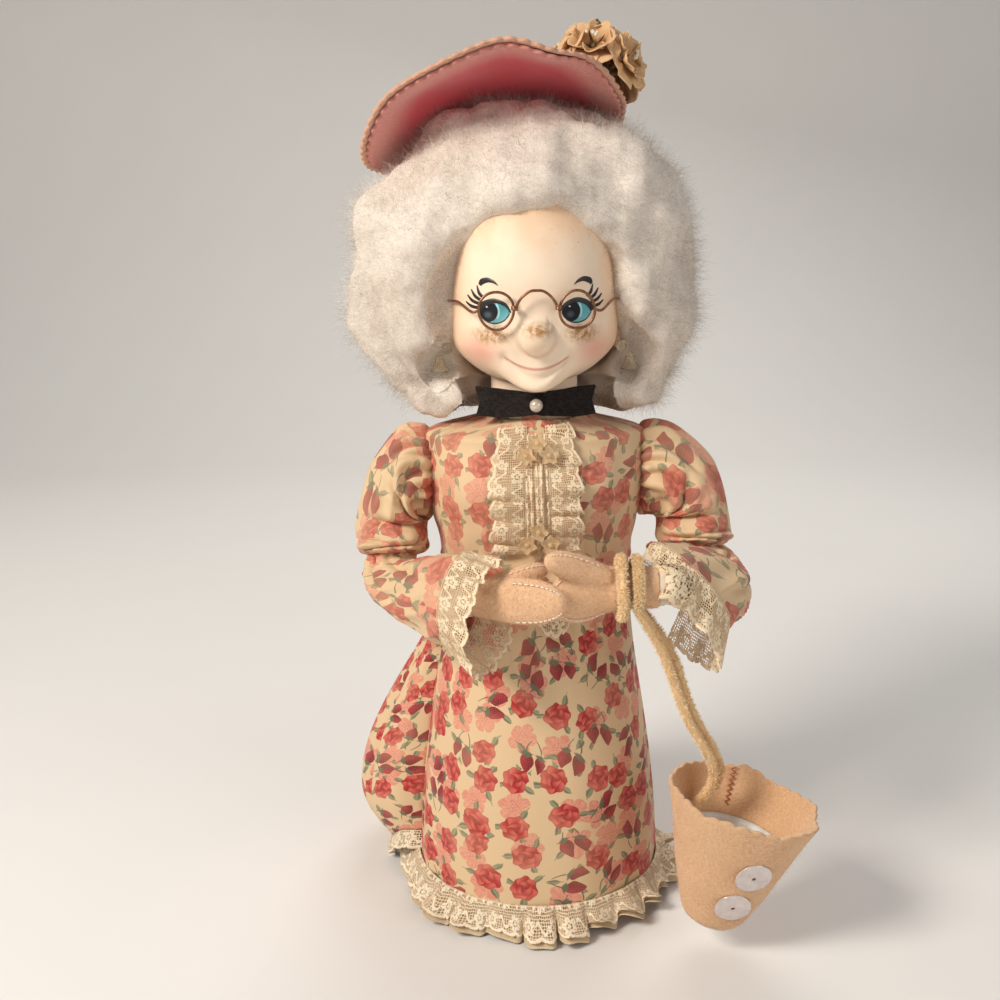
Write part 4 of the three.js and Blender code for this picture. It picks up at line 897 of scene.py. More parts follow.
def bustle_point(u, v):
    """The bustle stands off the skirt in a lobe round the back, deepest low down, with long folds."""
    ends = 1 - ease(np.minimum(u, 1 - u) / 0.13)
    z = 132 - (123 - 14 * ends) * v
    rise = np.sin(0.5 * math.pi * np.minimum(v / 0.82, 1) ** 1.4)
    tuck = np.where(v > 0.82, 1 - 0.42 * ((v - 0.82) / 0.18) ** 2, 1)
    lobe = np.sin(math.pi * np.clip(u, 0, 1) ** 0.62)
    phase = uneven(u, 9, 21) + 0.7 * np.sin(3 * v)
    crease = 1.0 - 1.9 * np.exp(-((np.sin(phase / 2) / 0.3) ** 2)) + 0.3 * np.cos(2 * phase + 3 * v)
    fold = (3.9 * np.sin(math.pi * v) ** 0.7 + 0.6) * crease
    pinch = 0.5 * ease((0.16 - v) / 0.16) * (1 + np.sin(uneven(u, 34, 22)))
    skin = skirt_radius(z) + 1.2 - 3.0 * (1 - ease(np.minimum(u, 1 - u) / 0.025))
    stand = 11.6 * np.clip(1 - (z - 14.6) / 12, 0, 1) * (1 - ends)
    r = np.maximum(skin + 36 * rise * tuck * lobe + fold * lobe, skin + stand) + pinch
    turn = np.radians(186 - 162 * u) + 0.02 * lobe * np.sin(phase) * np.sin(math.pi * v)
    return about_z(r, turn, z)


def build_bustle():
    """Draped print over the back of the skirt, edged with lace."""
    u, v = grid(260, 110)
    points = bustle_point(u, v)
    obj = cloth("bustle_cloth", points, cloth_uv(points), thick=0.7)
    dress(obj, "figure", printed_cotton(), "printed_cotton", "bustle")
    u, v = grid(500, 10)
    edge = bustle_point(u, np.ones_like(u))
    away = unit(edge * [1, 1, 0])
    wave = 1 + np.sin(uneven(u, 26, 23))
    points = edge + away * (v * (0.4 + 1.3 * wave))[..., None]
    points[..., 2] = np.maximum(0.7, edge[..., 2] - 0.2 - 9.5 * v)
    uv = np.stack([u * 42.0, 0.9 * (1 - v)], -1)
    frill = cloth("bustle_lace_frill", points, uv, thick=0.35)
    dress(frill, "figure", hem_lace(), "lace", "bustle_lace")


def build_bodice():
    """An oval body eased from waist to neck; darts and arm seams press shallow grooves into it."""
    nu, nv = 260, 96
    u, v = ring_grid(nu, nv)
    z = 150.4 + 62.6 * v
    side, front = bodice_half(z)
    turn = TAU * u
    off = np.zeros_like(u)
    for place, lean in ((0.815, 0.03), (0.685, -0.03), (0.315, 0.02), (0.185, -0.02)):
        dart = np.abs(u - place - lean * (v - 0.5) ** 2 * 4 * np.sign(place - 0.5))
        off -= 0.7 * np.exp(-(dart / 0.0035) ** 2) * ease((0.86 - v) / 0.2)
        off += 0.35 * np.exp(-((dart - 0.011) / 0.006) ** 2) * ease((0.86 - v) / 0.2)
    off += 0.5 * (1 + ripples(u * 40, v * 9, 31)) * ease((0.95 - v) / 0.3)
    off += 0.5 * np.exp(-((v - 0.03) / 0.03) ** 2) * (1 + np.sin(uneven(u, 40, 32)))
    points = stack((side + off) * np.cos(turn), (front + off) * np.sin(turn), z)
    uv = ring_uv(nu, TAU * 4.2, -cloth_uv(points)[0, :, 1]) + [3.1, 1.7]
    obj = cloth("bodice_cloth", points, uv, wrap=True, thick=0.7)
    dress(obj, "figure", faded_cotton(), "printed_cotton", "bodice", "bodice_batting")
    nu, nv = 160, 16
    u, v = ring_grid(nu, nv)
    r = 20.8 + 0.35 * np.sin(uneven(u, 15, 33)) * (0.3 + v) + 0.5 * v
    points = about_z(r, TAU * u, 211 + 11 * v)
    uv = ring_uv(nu, 13.2, np.linspace(0, 1.1, nv)) + [1.2, 5.3]
    ring = cloth("collar_cloth", points, uv, wrap=True, thick=0.8)
    dress(ring, "figure", faded_cotton(), "printed_cotton", "collar")


def build_bow():
    """A felt strip with notched, lifted ends and a pinch beside the middle, and a pearl on it."""
    u, v = grid(120, 28)
    s, w = 2 * u - 1, 2 * v - 1
    half = 6 * (0.83 + 0.15 * np.minimum(1, 2.5 * s * s))
    notch = 1.6 * (1 - np.abs(w)) * np.abs(s) ** 9
    x = 24 * s - np.sign(s) * notch
    y = -22.7 + 3 * s * s - 0.9 * np.exp(-((s - 0.13 - 0.05 * w) / 0.05) ** 2)
    y += 0.35 * np.sin(9 * s + 2 * w) * s
    z = BOW_Z + half * w + 1.1 * np.abs(s) ** 1.5 - 0.6 * np.exp(-(s / 0.2) ** 2) * w
    points = stack(x, y, z)
    obj = cloth("bow_felt", points, cloth_uv(points), thick=2.2)
    obj.modifiers["thickness"].use_even_offset = True
    soften = obj.modifiers.new("soft edges", "BEVEL")
    soften.width = 0.5 * MM
    soften.segments = 2
    dark = felt("charcoal felt", (0.034, 0.027, 0.025), (0.010, 0.008, 0.008), sheen=0.03)
    dress(obj, "figure", dark, "black_felt", "bow_tie")
    pearl = new_piece("bow_half_pearl", *ball(np.array([0, -26.6, BOW_Z]), 2.7, 32, 18))
    light, dark = (0.70, 0.64, 0.55), (0.60, 0.52, 0.45)
    sheen = mottled("pearl", light, dark, 300.0, 0.00003, 0.2, Metallic=0.25, Coat_Weight=0.6)
    dress(pearl, "figure", sheen, "pearl", "bow_pearl")


def build_jabot():
    """Lace down the chest: a gathered net column between two rippling frills, and a tip at the waist."""
    look = lace("jabot lace")
    for name, node, x0, x1, folds, seed in (
        ("jabot_net", "jabot_centre", -4.7, 4.7, 3, 41),
        ("jabot_frill_left", "jabot_left", 4.2, 17.6, 5, 42),
        ("jabot_frill_right", "jabot_right", -4.6, -18.6, 5, 43),
    ):
        u, v = grid(44, 200)
        z = 209 - 46 * v
        spread = 0.8 + 0.2 * np.minimum(1, 3 * v)
        phase = uneven(v, folds, seed)
        x = (x0 + (x1 - x0) * u) * spread
        if node == "jabot_centre":
            lift = 0.5 * np.sin(math.pi * u) * (1 + np.sin(phase)) + 0.9 * np.exp(-((u - 0.62) / 0.1) ** 2)
            lift = lift + 0.5 * (1 + np.sin(TAU * 4.5 * u + 1.2 * np.sin(5 * v)))
            uv = np.stack([v * 4.6, 0.3 + u * 1.9], -1)
        else:
            lean = phase + 1.6 * u
            lift = 0.6 + u * (1.9 + 1.7 * np.sin(lean)) + 0.7 * np.sin(math.pi * u) * (1 + np.cos(lean))
            z = z + 1.0 * u * np.cos(lean) + 2.5 * (1 - v) ** 3
            x = x * (1 + 0.07 * u * np.sin(phase + 0.5))
            uv = np.stack([v * 7.0, 1.8 * (1 - u)], -1)
        y = chest_y(x, z) - 1.4 - lift
        obj = cloth(name, stack(x, y, z), uv, flip=x1 < x0, thick=0.3)
        dress(obj, "figure", look, "lace", node)
    u, v = grid(60, 30)
    s = 2 * u - 1
    z = 149 - (2 + 20 * np.sqrt(1 - 0.96 * s * s)) * v
    x = 6.2 + 9.4 * s
    r = skirt_radius(z) + 1.4 + 0.5 * v * np.sin(5 * s)
    uv = np.stack([u * 2.9, 1.6 * (1 - v)], -1)
    tip = cloth("waist_lace_tip", stack(x, -np.sqrt(r * r - x * x), z), uv, flip=True, thick=0.3)
    dress(tip, "figure", look, "lace", "waist_lace")


def clear_bead(name="clear bead", clear=0.6, light=(1.0, 0.83, 0.58), deep=(0.98, 0.73, 0.44)):
    """Tinted glass that lets most of the light through."""

    def build(net):
        tone = net.noise(solid_place(net), 300.0, 2.0)
        colour = net.mix(tone, light, deep)
        return net.coat(colour, tone, 0.0001, 0.2)

    return material(name, build, 0.05, Transmission_Weight=clear, IOR=1.35)


def build_brooches():
    """Clear flower beads at the top and the bottom of the lace: five thin cupped petals round a bead."""
    for name, z, lift in (("brooch_upper", 203.12, 1.2), ("brooch_lower", 168.88, 0.6)):
        y = float(chest_y(0.0, z)) - 2.0 - lift - 2.94
        parts = []
        for dx, dz in ((-4.62, -1.26), (4.62, -1.26), (0, 3.78)):
            points, faces = ball(np.zeros(3), np.array([4.2, 1.5, 4.2]), 60, 16)
            turn = np.arctan2(points[:, 2], points[:, 0])
            far = np.hypot(points[:, 0], points[:, 2]) / 4.2
            lobes = 1 - 0.34 * far * (0.5 - 0.5 * np.cos(5 * turn + dx))
            points = points * np.stack([lobes, np.ones_like(lobes), lobes], -1)
            points[:, 1] -= 1.9 * far ** 2 - 0.8
            parts.append((points + [dx, y, z + dz], faces))
            parts.append(ball(np.array([dx, y - 1.3, z + dz]), 1.1, 16, 10))
        dress(new_piece(name + "_beads", *merged(parts)), "figure", clear_bead(), "clear_bead", name)


# Arms: sleeves, stuffed arms, felt mittens and lace cuffs


def arm_point(side, out, forward, drop):
    return np.array([side * (SHOULDER_X + out), -forward, ARM_Z - drop], float)


def front_point(x, reach, drop):
    return np.array([x, -(CHEST_Y + reach), ARM_Z - drop], float)


def puff_sections(side, out, drop):
    """Sections of a puffed upper sleeve, from the arm hole over the shoulder and down."""
    s = side
    return [
        section(arm_point(s, 0, 0, 0), (s, 0, 0), (0, 0, 1), 18, 16),
        section(arm_point(s, 7, 0, 0), (s, 0, -0.2), (0, 0, 1), 18, 19),
        section(arm_point(s, out - 4, 2, drop * 0.25), (s, 0, -1), (s, 0, 1), 15, 19),
        section(arm_point(s, out, 6, drop * 0.62), (0, -0.2, -1), (s, 0, 0), 13, 16),
        section(arm_point(s, out - 0.5, 12, drop * 0.88), (0, -0.3, -1), (s, 0, 0), 12.6, 14.5),
        section(arm_point(s, out - 0.5, 14.5, drop), (0, -0.4, -1), (s, 0, 0), 12, 13),
    ]


LOWER = {
    "right": [
        section(arm_point(-1, 15, 13, 30), (0, -0.3, -1), (-1, 0, 0), 8.5, 8.5),
        section(arm_point(-1, 13, 20, 40), (0.4, -0.6, -0.7), (-1, -0.3, 0), 11, 11),
        section(front_point(-46, -2, 42), (0.72, -0.66, -0.15), (-0.6, -0.7, 0), 11, 15),
        section(front_point(-31, 14, 40), (0.8, -0.58, -0.14), (-0.6, -0.7, 0), 12.5, 19.5),
    ],
    "left": [
        section(arm_point(1, 20, 13, 28), (0, -0.3, -1), (1, 0, 0), 8.5, 8.5),
        section(arm_point(1, 26, 19, 39), (-0.1, -0.7, -0.7), (1, 0, -0.3), 12, 11),
        section(front_point(70, -9, 40), (-0.5, -0.75, -0.42), (0.76, 0, -0.5), 17.5, 13.5),
        section(front_point(59, 6.5, 37.5), (-0.66, -0.5, -0.56), (0.76, 0.1, -0.64), 22, 12.5),
    ],
}
ARM_PATH = {
    "right": [
        arm_point(-1, 0, 0, 0), arm_point(-1, 4, 0, 0), arm_point(-1, 10, 1, 5), arm_point(-1, 15, 6, 18),
        arm_point(-1, 15, 13, 30), arm_point(-1, 12.5, 21, 40), front_point(-46, 2, 39.5),
        front_point(-34, 13.7, 38.8), front_point(-27, 17.5, 38),
    ],
    "left": [
        arm_point(1, 0, 0, 0), arm_point(1, 4, 0, 0), arm_point(1, 11, 1, 4), arm_point(1, 19, 5, 16),
        arm_point(1, 20, 13, 28), arm_point(1, 24, 20, 38.5), front_point(62, 4, 39),
        front_point(49.5, 19.5, 34), front_point(45.5, 19.5, 34),
    ],
}


def creases(f, v, lines):
    """Valleys with soft banks along straight lines on a sleeve: how far the cloth moves, in millimetres."""
    off = 0
    for f0, v0, f1, v1, deep in lines:
        ax, ay, px, py = (f1 - f0) * 90, (v1 - v0) * 55, (f - f0) * 90, (v - v0) * 55
        run = math.hypot(ax, ay)
        ends = np.sin(math.pi * np.clip((px * ax + py * ay) / run ** 2, 0, 1)) ** 0.5
        d = np.abs(px * ay - py * ax) / run
        off = off + deep * ends * (0.6 * np.exp(-(((d - 3.6) / 2.4) ** 2)) - np.exp(-((d / 1.5) ** 2)))
    return off


PUFF_LINES = (
    (0.47, 0.78, 0.03, 0.9, 2.6), (0.45, 0.64, 0.1, 0.55, 2.2), (0.4, 0.5, 0.18, 0.3, 1.8),
    (0.06, 0.72, 0.3, 0.8, 1.8), (0.22, 0.08, 0.28, 0.4, 1.6), (0.33, 0.06, 0.34, 0.34, 1.5),
    (0.12, 0.06, 0.16, 0.36, 1.6), (0.5, 0.9, 0.56, 0.5, 2.0),
)
LOWER_LINES = (
    (0.08, 0.05, 0.3, 0.6, 1.9), (0.2, 0.0, 0.44, 0.45, 2.1),
    (0.02, 0.28, 0.18, 0.85, 1.4), (0.3, 0.3, 0.42, 0.8, 1.4),
)


def build_sleeves():
    """Puffs gathered at both ends over bell-shaped lower sleeves: gathers are waves round the section."""
    for side, sign, out, drop, seed in (("right", -1, 15, 33, 51), ("left", 1, 20.5, 31, 54)):
        nu, nv = 172, 86
        u, v = ring_grid(nu, nv)
        gather = np.sin(uneven(u, 19, seed))
        swell = 1.02 + 0.07 * np.sin(math.pi * v) ** 2
        swell = swell + (0.09 * ease((0.4 - v) / 0.4) + 0.03 * ease((v - 0.7) / 0.2)) * gather
        front = u if sign > 0 else (1 - u) % 1
        swell = swell + creases(front, v, PUFF_LINES) / 15
        crease = ripples(5 * np.cos(TAU * u) + 7 * v, 5 * np.sin(TAU * u) - 5 * v, seed + 1, 7, 0.8, 2.2)
        swell = swell + 0.07 * (0.8 - np.abs(crease)) * np.sin(math.pi * v)
        swell = swell + 0.09 * np.exp(-((v - 0.8) / 0.1) ** 2) * (1 + 0.7 * np.sin(uneven(u, 5, seed + 2)))
        swell = swell * (1 - 0.34 * ease((v - 0.9) / 0.1)) * (1 - 0.2 * ease((0.06 - v) / 0.06))
        sections = puff_sections(sign, out, drop)
        sections[0][:3] += [-4.0 * sign, 0, 0]
        points = loft(sections, v, u, swell)
        uv = ring_uv(nu, 11.5, np.linspace(0, 6.4, nv)) + [2.0 * sign, 3.3]
        puff = cloth(side + "_puff_cloth", points, uv, wrap=True, thick=0.7)
        dress(puff, "arms", faded_cotton(), "printed_cotton", side + "_puff")
        crease = ripples(4 * np.cos(TAU * u) + 4 * v, 4 * np.sin(TAU * u) + 8 * v, seed + 3, 7, 0.8, 2.0)
        swell = 1.03 + 0.17 * (0.6 - np.abs(crease) ** 0.8) * (1 - 0.55 * v)
        swell = swell + 0.07 * ease((0.35 - v) / 0.35) * gather
        swell = swell + 0.03 * np.sin(uneven(u, 4, seed + 4)) * v * v
        swell = swell + creases(u if sign > 0 else (u + 0.25) % 1, v, LOWER_LINES) / 13
        points = loft(LOWER[side], v, u, swell)
        uv = ring_uv(nu, 9.5, np.linspace(0, 5.6, nv)) + [5.0 * sign, 1.1]
        lower = cloth(side + "_lower_sleeve_cloth", points, uv, wrap=True, thick=0.7)
        dress(lower, "arms", faded_cotton(), "printed_cotton", side + "_lower_sleeve")


def build_cuffs():
    """Lace hung from part of each sleeve's mouth; its folds open out with the fall."""
    for side, hang, start, end, folds, seed in (
        ("right", (0.8, -0.58, -0.34), -0.3, 0.45, 9, 61),
        ("left", (-0.42, -0.25, -0.87), -0.2, 0.52, 11, 62),
    ):
        u, v = grid(220, 24)
        mouth = np.asarray(LOWER[side][-1:] * 2)
        turn = start + (end - start) * u
        ring = loft(mouth, np.zeros_like(u), turn)
        away = unit(ring - mouth[0, :3])
        along = unit(np.cross(mouth[0, 3:6], mouth[0, 6:]))
        wave = 1.5 * v * (2 + np.sin(uneven(u, folds, seed)))
        points = ring - along * 0.9 + unit(hang) * (17.5 * v)[..., None] + away * (wave + 1.0)[..., None]
        path = curve_through(ARM_PATH[side], np.linspace(0.4, 1, 60))
        gap = points[:, :, None] - path
        near = np.linalg.norm(gap, axis=-1)
        nearest = np.take_along_axis(gap, near.argmin(-1)[..., None, None], 2)[:, :, 0]
        push = np.maximum(0, 9.0 - near.min(-1))[..., None]
        points = points + unit(nearest * [1, 1, 0.4] - [0, 2, 0]) * push
        uv = np.stack([u * 14.0, 1.75 * (1 - v)], -1)
        obj = cloth(side + "_cuff_frill", points, uv, thick=0.3)
        dress(obj, "arms", lace("cuff lace"), "lace", side + "_cuff_lace")


def build_stuffing():
    """Stuffed cloth arms: round tubes with slight lumps, seen inside the sleeves' mouths."""
    look = mottled("stuffed cotton", (0.86, 0.75, 0.60), (0.72, 0.58, 0.43), 250.0, 0.0002, 0.9)
    for side in ("right", "left"):
        path = curve_through(ARM_PATH[side], np.linspace(0, 1, 90))
        radius = 6.9 + 0.35 * np.sin(np.linspace(0, 40, 90))
        obj = new_piece(side + "_arm_stuffing", *tubes(path, radius, 28))
        dress(obj, "arms", look, "wadding", side + "_arm")


MITTEN_SHAPE = (
    (0, 0.7, 1.35), (0.2, 0.86, 1.15), (0.45, 1, 1), (0.7, 0.95, 0.92), (0.88, 0.7, 0.75), (0.97, 0.36, 0.45),
)


def wrist_point(x):
    """A point on the axis of the doll's left wrist."""
    return np.array([x, -60, 154], float)


def hand_sections(start, end, half_height, half_thick):
    """Sections of a mitten or thumb: flattened ovals that round off at the tip."""
    start, end = np.asarray(start, float), np.asarray(end, float)
    return [
        section(start + (end - start) * share, end - start, (0, 0, 1), half_height * tall, half_thick * deep)
        for share, tall, deep in MITTEN_SHAPE
    ]


def closed_loft(sections, nu=48, nv=40):
    """A loft with both ends closed, as points and faces."""
    u, v = ring_grid(nu, nv)
    rings = loft(sections, v, u).reshape(-1, 3)
    ends = np.array([sections[0][:3], sections[-1][:3] + 0.25 * (sections[-1][:3] - sections[-2][:3])])
    return np.concatenate([rings, ends]), ball_faces(nu, nv)


MITTENS = {
    "right": (
        hand_sections((-26.6, -58.3, 150), (9.5, -78, 154), 9.2, 4.4),
        hand_sections((-23, -60.5, 153), (3, -61.5, 163), 4.8, 4),
    ),
    "left": (
        [section(wrist_point(x), (-1, 0, 0), (0, 0, 1), tall, deep)
         for x, tall, deep in ((45.1, 8, 8), (36, 8, 8), (29.5, 8.4, 7.4))]
        + hand_sections(wrist_point(27.5), (3.5, -67, 152), 11.5, 4.6)[1:],
        hand_sections((25, -62, 159), (1, -71.5, 169.5), 5.4, 4),
    ),
}


def fused(obj, name, grain, rounds):
    """The object's bodies made one skin by a fine voxel remesh, then smoothed."""
    skin = obj.modifiers.new("one skin", "REMESH")
    skin.mode = "VOXEL"
    skin.voxel_size = grain * MM
    soft = obj.modifiers.new("smooth", "SMOOTH")
    soft.factor = 0.5
    soft.iterations = rounds
    mesh = baked(obj, name)
    mesh.polygons.foreach_set("use_smooth", np.full(len(mesh.polygons), True))
    return mesh


def build_mittens():
    """Felt mittens: hand and thumb grown into one skin, with short surface fibres and a row of stitches."""
    look = felt("peach felt", (0.86, 0.58, 0.36), (0.72, 0.44, 0.25))
    for side, seed in (("right", 71), ("left", 72)):
        hand, thumb = MITTENS[side]
        obj = new_piece(side + "_mitten_felt", *merged([closed_loft(hand), closed_loft(thumb)]))
        mesh = fused(obj, side + "_mitten_felt", 0.8, 4)
        roots, normals = scatter(mesh, sizes().felt_fibres, seed)
        rng = np.random.default_rng(seed)
        aims = normals + 1.3 * rng.normal(size=normals.shape)
        length = rng.uniform(0.5, 1.4, len(roots))
        fuzz = new_piece(side + "_mitten_fuzz", *fibres(roots, aims, length, 0.1, 0.4, seed))
        dress(fuzz, "arms", fluff("peach fuzz", (0.76, 0.48, 0.30), (0.92, 0.68, 0.48)), "peach_felt")
        dress(obj, "arms", look, "peach_felt", side + "_mitten")
        stitches = []
        for sections, turns in ((hand, (0.11, 0.39)), (thumb, (0.12,))):
            for turn in turns:
                spots = np.linspace(0.24 if sections is thumb else 0.45, 0.93, 11)
                run = np.array([-0.016, -0.006, 0.006, 0.016])
                t = spots[:, None] + run
                facing = np.full_like(t, turn if side == "right" else -turn)
                line = loft(sections, t, facing)
                swell = loft(sections, t, facing, 1.07)
                hump = np.array([0.35, 1, 1, 0.35])[None, :, None]
                stitches.append(line + (swell - line) * hump)
        thread = new_piece(side + "_mitten_stitches", *tubes(np.concatenate(stitches), 0.3, 6))
        pale = mottled("pale thread", (0.94, 0.84, 0.70), (0.84, 0.68, 0.52), 900.0, 0.0001, 0.7)
        dress(thread, "arms", pale, "peach_felt")


def chenille(name, path, core, reach, body, seed, node, per_mm=70):
    """Chenille: a fine core with short soft pile standing out from it all round."""
    side, up = frames_along(path)
    rng = np.random.default_rng(seed)
    count = int(np.linalg.norm(np.diff(path, axis=0), axis=-1).sum() * per_mm)
    place = np.sort(rng.uniform(0, len(path) - 1.001, count))
    i = place.astype(int)
    f = (place - i)[:, None]
    turn = rng.uniform(0, TAU, (count, 1))
    out = np.cos(turn) * side[i] + np.sin(turn) * up[i]
    foot = core * 0.7
    roots = path[i] * (1 - f) + path[i + 1] * f + out * foot
    aims = out + 0.45 * rng.normal(size=out.shape)
    length = (reach - foot) * rng.uniform(0.75, 1.15, count)
    solid = tubes(path, core, 10)
    *pile, along = fibres(roots, aims, length, 0.34, 0.25, seed)
    # The core takes the root colour in full: painted shade at the foot of the pile.
    along = np.concatenate([np.zeros(len(solid[0])), along])
    obj = new_piece(name, *merged([solid, pile]), along)
    dress(obj, body, fluff("chenille", (0.86, 0.61, 0.34), (1.0, 0.85, 0.58)), "chenille", node)


def build_wrist_band():
    """A loop of chenille round the doll's left wrist."""
    turn = np.linspace(0, TAU, 97)
    path = wrist_point(30.9) + stack(0.4 * np.sin(2 * turn), 11 * np.cos(turn), 11 * np.sin(turn))
    chenille("wrist_chenille", path, 1.5, 2.7, "arms", 75, "wrist_band")


# Head: face, paint, spectacles, earrings, hair, hat and flowers


HEAD_Y, HEAD_Z = -3, 252
HEAD = {
    "centre": (0, HEAD_Y, HEAD_Z), "half": 34.5, "front": 36, "back": 37, "up": 60, "down": 25.5,
    "powers": (2.2, 2.5),
}
EYES = {"right": (-16.2, 257.7), "left": (15.6, 257.7)}
EYE_SCALE = 0.88
LASHES = (
    ((5.8, 1.2), (11.0, 3.4)), ((5.6, 2.8), (10.3, 6.0)), ((5.0, 4.2), (8.8, 8.2)), ((4.1, 5.2), (6.5, 9.8)),
)
BROW = ((21.6, 267.6), (20.6, 269.0), (18.4, 269.6), (16.2, 268.9), (14.6, 267.6))


def egg_point(egg, around, rise, grow=0.0):
    """A point of an egg: around from the front, rise from -1 at the bottom to 1 at the top."""
    angle = np.abs(rise) * math.pi / 2
    power = 2 / np.where(rise > 0, *egg["powers"])
    round_ = np.maximum(np.cos(angle), 0) ** power
    facing = np.cos(TAU * around)
    depth = np.where(facing > 0, egg["front"], egg["back"]) + grow
    tall = np.where(rise > 0, egg["up"], egg["down"]) + grow
    x = (egg["half"] + grow) * round_ * np.sin(TAU * around)
    z = np.sign(rise) * tall * np.sin(angle) ** power
    return stack(x, -depth * round_ * facing, z) + egg["centre"]


def spot(dx, dz, wide):
    """A round bump that fades smoothly."""
    return np.exp(-(dx * dx + dz * dz) / (wide * wide))


def face_relief(x, z):
    """How far the face stands out: button nose, cheeks, chin, and the groove of the smile."""
    dz = z - HEAD_Z
    away = np.hypot(x, (dz + 4) * 1.08) / 7.0
    nose = 7.4 * np.clip(1 - away ** 2.4, 0, 1) ** 0.58 + 0.6 * np.exp(-(away / 1.15) ** 4)
    cheeks = 2.8 * spot(np.abs(x) - 18, dz + 9, 9.5)
    chin = 3.0 * spot(x, dz + 20.5, 7.5)
    lip = 235.8 + 4.4 * (x / 12.3) ** 2
    ends = ease((13.4 - np.abs(x)) / 2.5)
    smile = -1.5 * np.exp(-((z - lip) / 1.0) ** 2) * ends
    under = 0.9 * np.exp(-((z - lip + 2.6) / 1.8) ** 2) * ease((10 - np.abs(x)) / 5)
    corners = -1.3 * spot(np.abs(x) - 12.8, z - 240.6, 1.7)
    sockets = -0.9 * spot(np.abs(x) - 15.7, dz - 6.5, 7.5)
    return nose + cheeks + chin + smile + under + corners + sockets


def face_y(x, z):
    """Where the face's surface lies, for a place seen from the front."""
    dz = z - HEAD_Z
    power = np.where(dz > 0, *HEAD["powers"])
    sine = np.clip(np.abs(dz) / np.where(dz > 0, HEAD["up"], HEAD["down"]), 0, 0.999) ** (power / 2)
    round_ = np.sqrt(1 - sine * sine) ** (2 / power)
    across = np.clip(x / (HEAD["half"] * round_), -0.999, 0.999)
    depth = round_ * np.sqrt(1 - across * across)
    return HEAD_Y - HEAD["front"] * depth - face_relief(x, z) * depth


def painted_skin():
    """Peach paint with rosy cheeks, tan shading at the hairline, and brown wear round nose and eyes."""

    def build(net):
        place = net.shift("MULTIPLY", solid_place(net), (1000.0, 1000.0, 1000.0))
        x, y, z = net.split(place)
        front = net.rise(y, 0.0, -12.0)
        patch = net.noise(place, 0.09, 3.0)
        fleck = net.noise(place, 0.55, 3.0, 0.7)

        def blot(px, pz, wide, tall):
            """An oval patch on the front of the face that fades to its edge."""
            return net.rise(net.far((x - px) / wide, (z - pz) / tall), 1.0, 0.0) * front

        colour = net.mix(net.rise(patch, 0.3, 0.8) * 0.5, tuple(colours().face), (0.86, 0.64, 0.45))
        # Painted shade: tan darkening towards the sides of the face and up at the hairline.
        edge = net.rise(net.size(x) + (patch - 0.5) * 9.0, 22.0, 35.0)
        crown = net.rise(z + (patch - 0.5) * 14.0, 274.0, 297.0)
        colour = net.mix(net.highest(edge, crown) * 0.46, colour, (0.80, 0.44, 0.21))
        for px, pz in ((-22.0, 242.0), (23.0, 242.5)):
            colour = net.mix(blot(px, pz, 12.0, 10.0) * 0.7, colour, (0.76, 0.31, 0.22))
        rust = net.rise(fleck, 0.34, 0.66) * 0.75 + 0.25
        for worn in ((-17.0, 248.8, 11.5, 5.6), (17.5, 249.2, 10.5, 5.6), (0.0, 251.0, 8.6, 4.6)):
            colour = net.mix(blot(*worn) * rust * 1.25, colour, (0.40, 0.185, 0.035))
        # Painted shade: a tan ring in the crease round the lower half of the nose.
        crease = net.rise(net.size(net.far(x / 7.0, (z - 247.6) / 6.6) - 1.04), 0.24, 0.0)
        crease = crease * net.rise(z, 252.0, 245.0)
        colour = net.mix(crease * front * 0.35, colour, (0.62, 0.36, 0.21))
        blush = blot(0.0, 247.0, 7.0, 6.0)
        colour = net.mix(blush * 0.2, colour, (0.82, 0.46, 0.30))
        lip = 235.7 + x * x * 0.0291
        line = net.rise(net.size(z - lip), 0.9, 0.15) * net.rise(net.size(x), 13.2, 11.5) * front
        colour = net.mix(line * 0.7, colour, (0.55, 0.16, 0.12))
        stain = net.rise(net.noise(place, 0.7, 4.0, 0.7), 0.62, 0.72) * blot(16.0, 288.0, 18.0, 12.0)
        colour = net.mix(stain * 0.8, colour, (0.25, 0.10, 0.04))
        return net.coat(colour, net.noise(place, 2.0, 4.0), 0.0001, 0.25)

    soak = (0.004, 0.002, 0.001)
    return material("painted skin", build, 0.58, Subsurface_Weight=0.12, Subsurface_Radius=soak)


def build_head():
    """An egg with the face raised from it and the chin drawn down; points lie closest at the front."""
    nu, nv = 250, 190
    s = np.arange(nu)[:, None] / nu
    around = s - 0.6 * np.sin(TAU * s) / TAU
    rise = np.sin(np.linspace(-1, 1, nv + 2)[1:-1] * math.pi / 2)[None]
    rings = egg_point(HEAD, around, np.broadcast_to(rise, (nu, nv)))
    depth = np.maximum(0, (HEAD_Y - rings[..., 1]) / HEAD["front"])
    rings[..., 1] -= face_relief(rings[..., 0], rings[..., 2]) * depth
    chin = 8.0 * np.exp(-(np.abs(rings[..., 0]) / 17.5) ** 2.6 - ((rings[..., 2] - 231) / 7) ** 2)
    rings += (chin * ease((depth - 0.5) / 0.3))[..., None] * [0, -0.6, -0.8]
    rings[..., 0] *= 1 - 0.1 * ease((244 - rings[..., 2]) / 14)
    poles = [[0, HEAD_Y, HEAD_Z - HEAD["down"]], [0, HEAD_Y, HEAD_Z + HEAD["up"]]]
    points = np.concatenate([rings.reshape(-1, 3), poles])
    skull = points, ball_faces(nu, nv)
    neck = turned([(15.6, 208.9), (17.6, 208.9), (18, 209.5), (18, 239.5), (15.6, 240)], 96, closed=True)
    ears = [ball(np.array([side * 34.5, 1, 247]), np.array([3.4, 5, 7.5]), 28, 18) for side in (-1, 1)]
    dress(new_piece("head_vinyl", *merged([skull, neck, *ears])), "head", painted_skin(), "vinyl", "head")


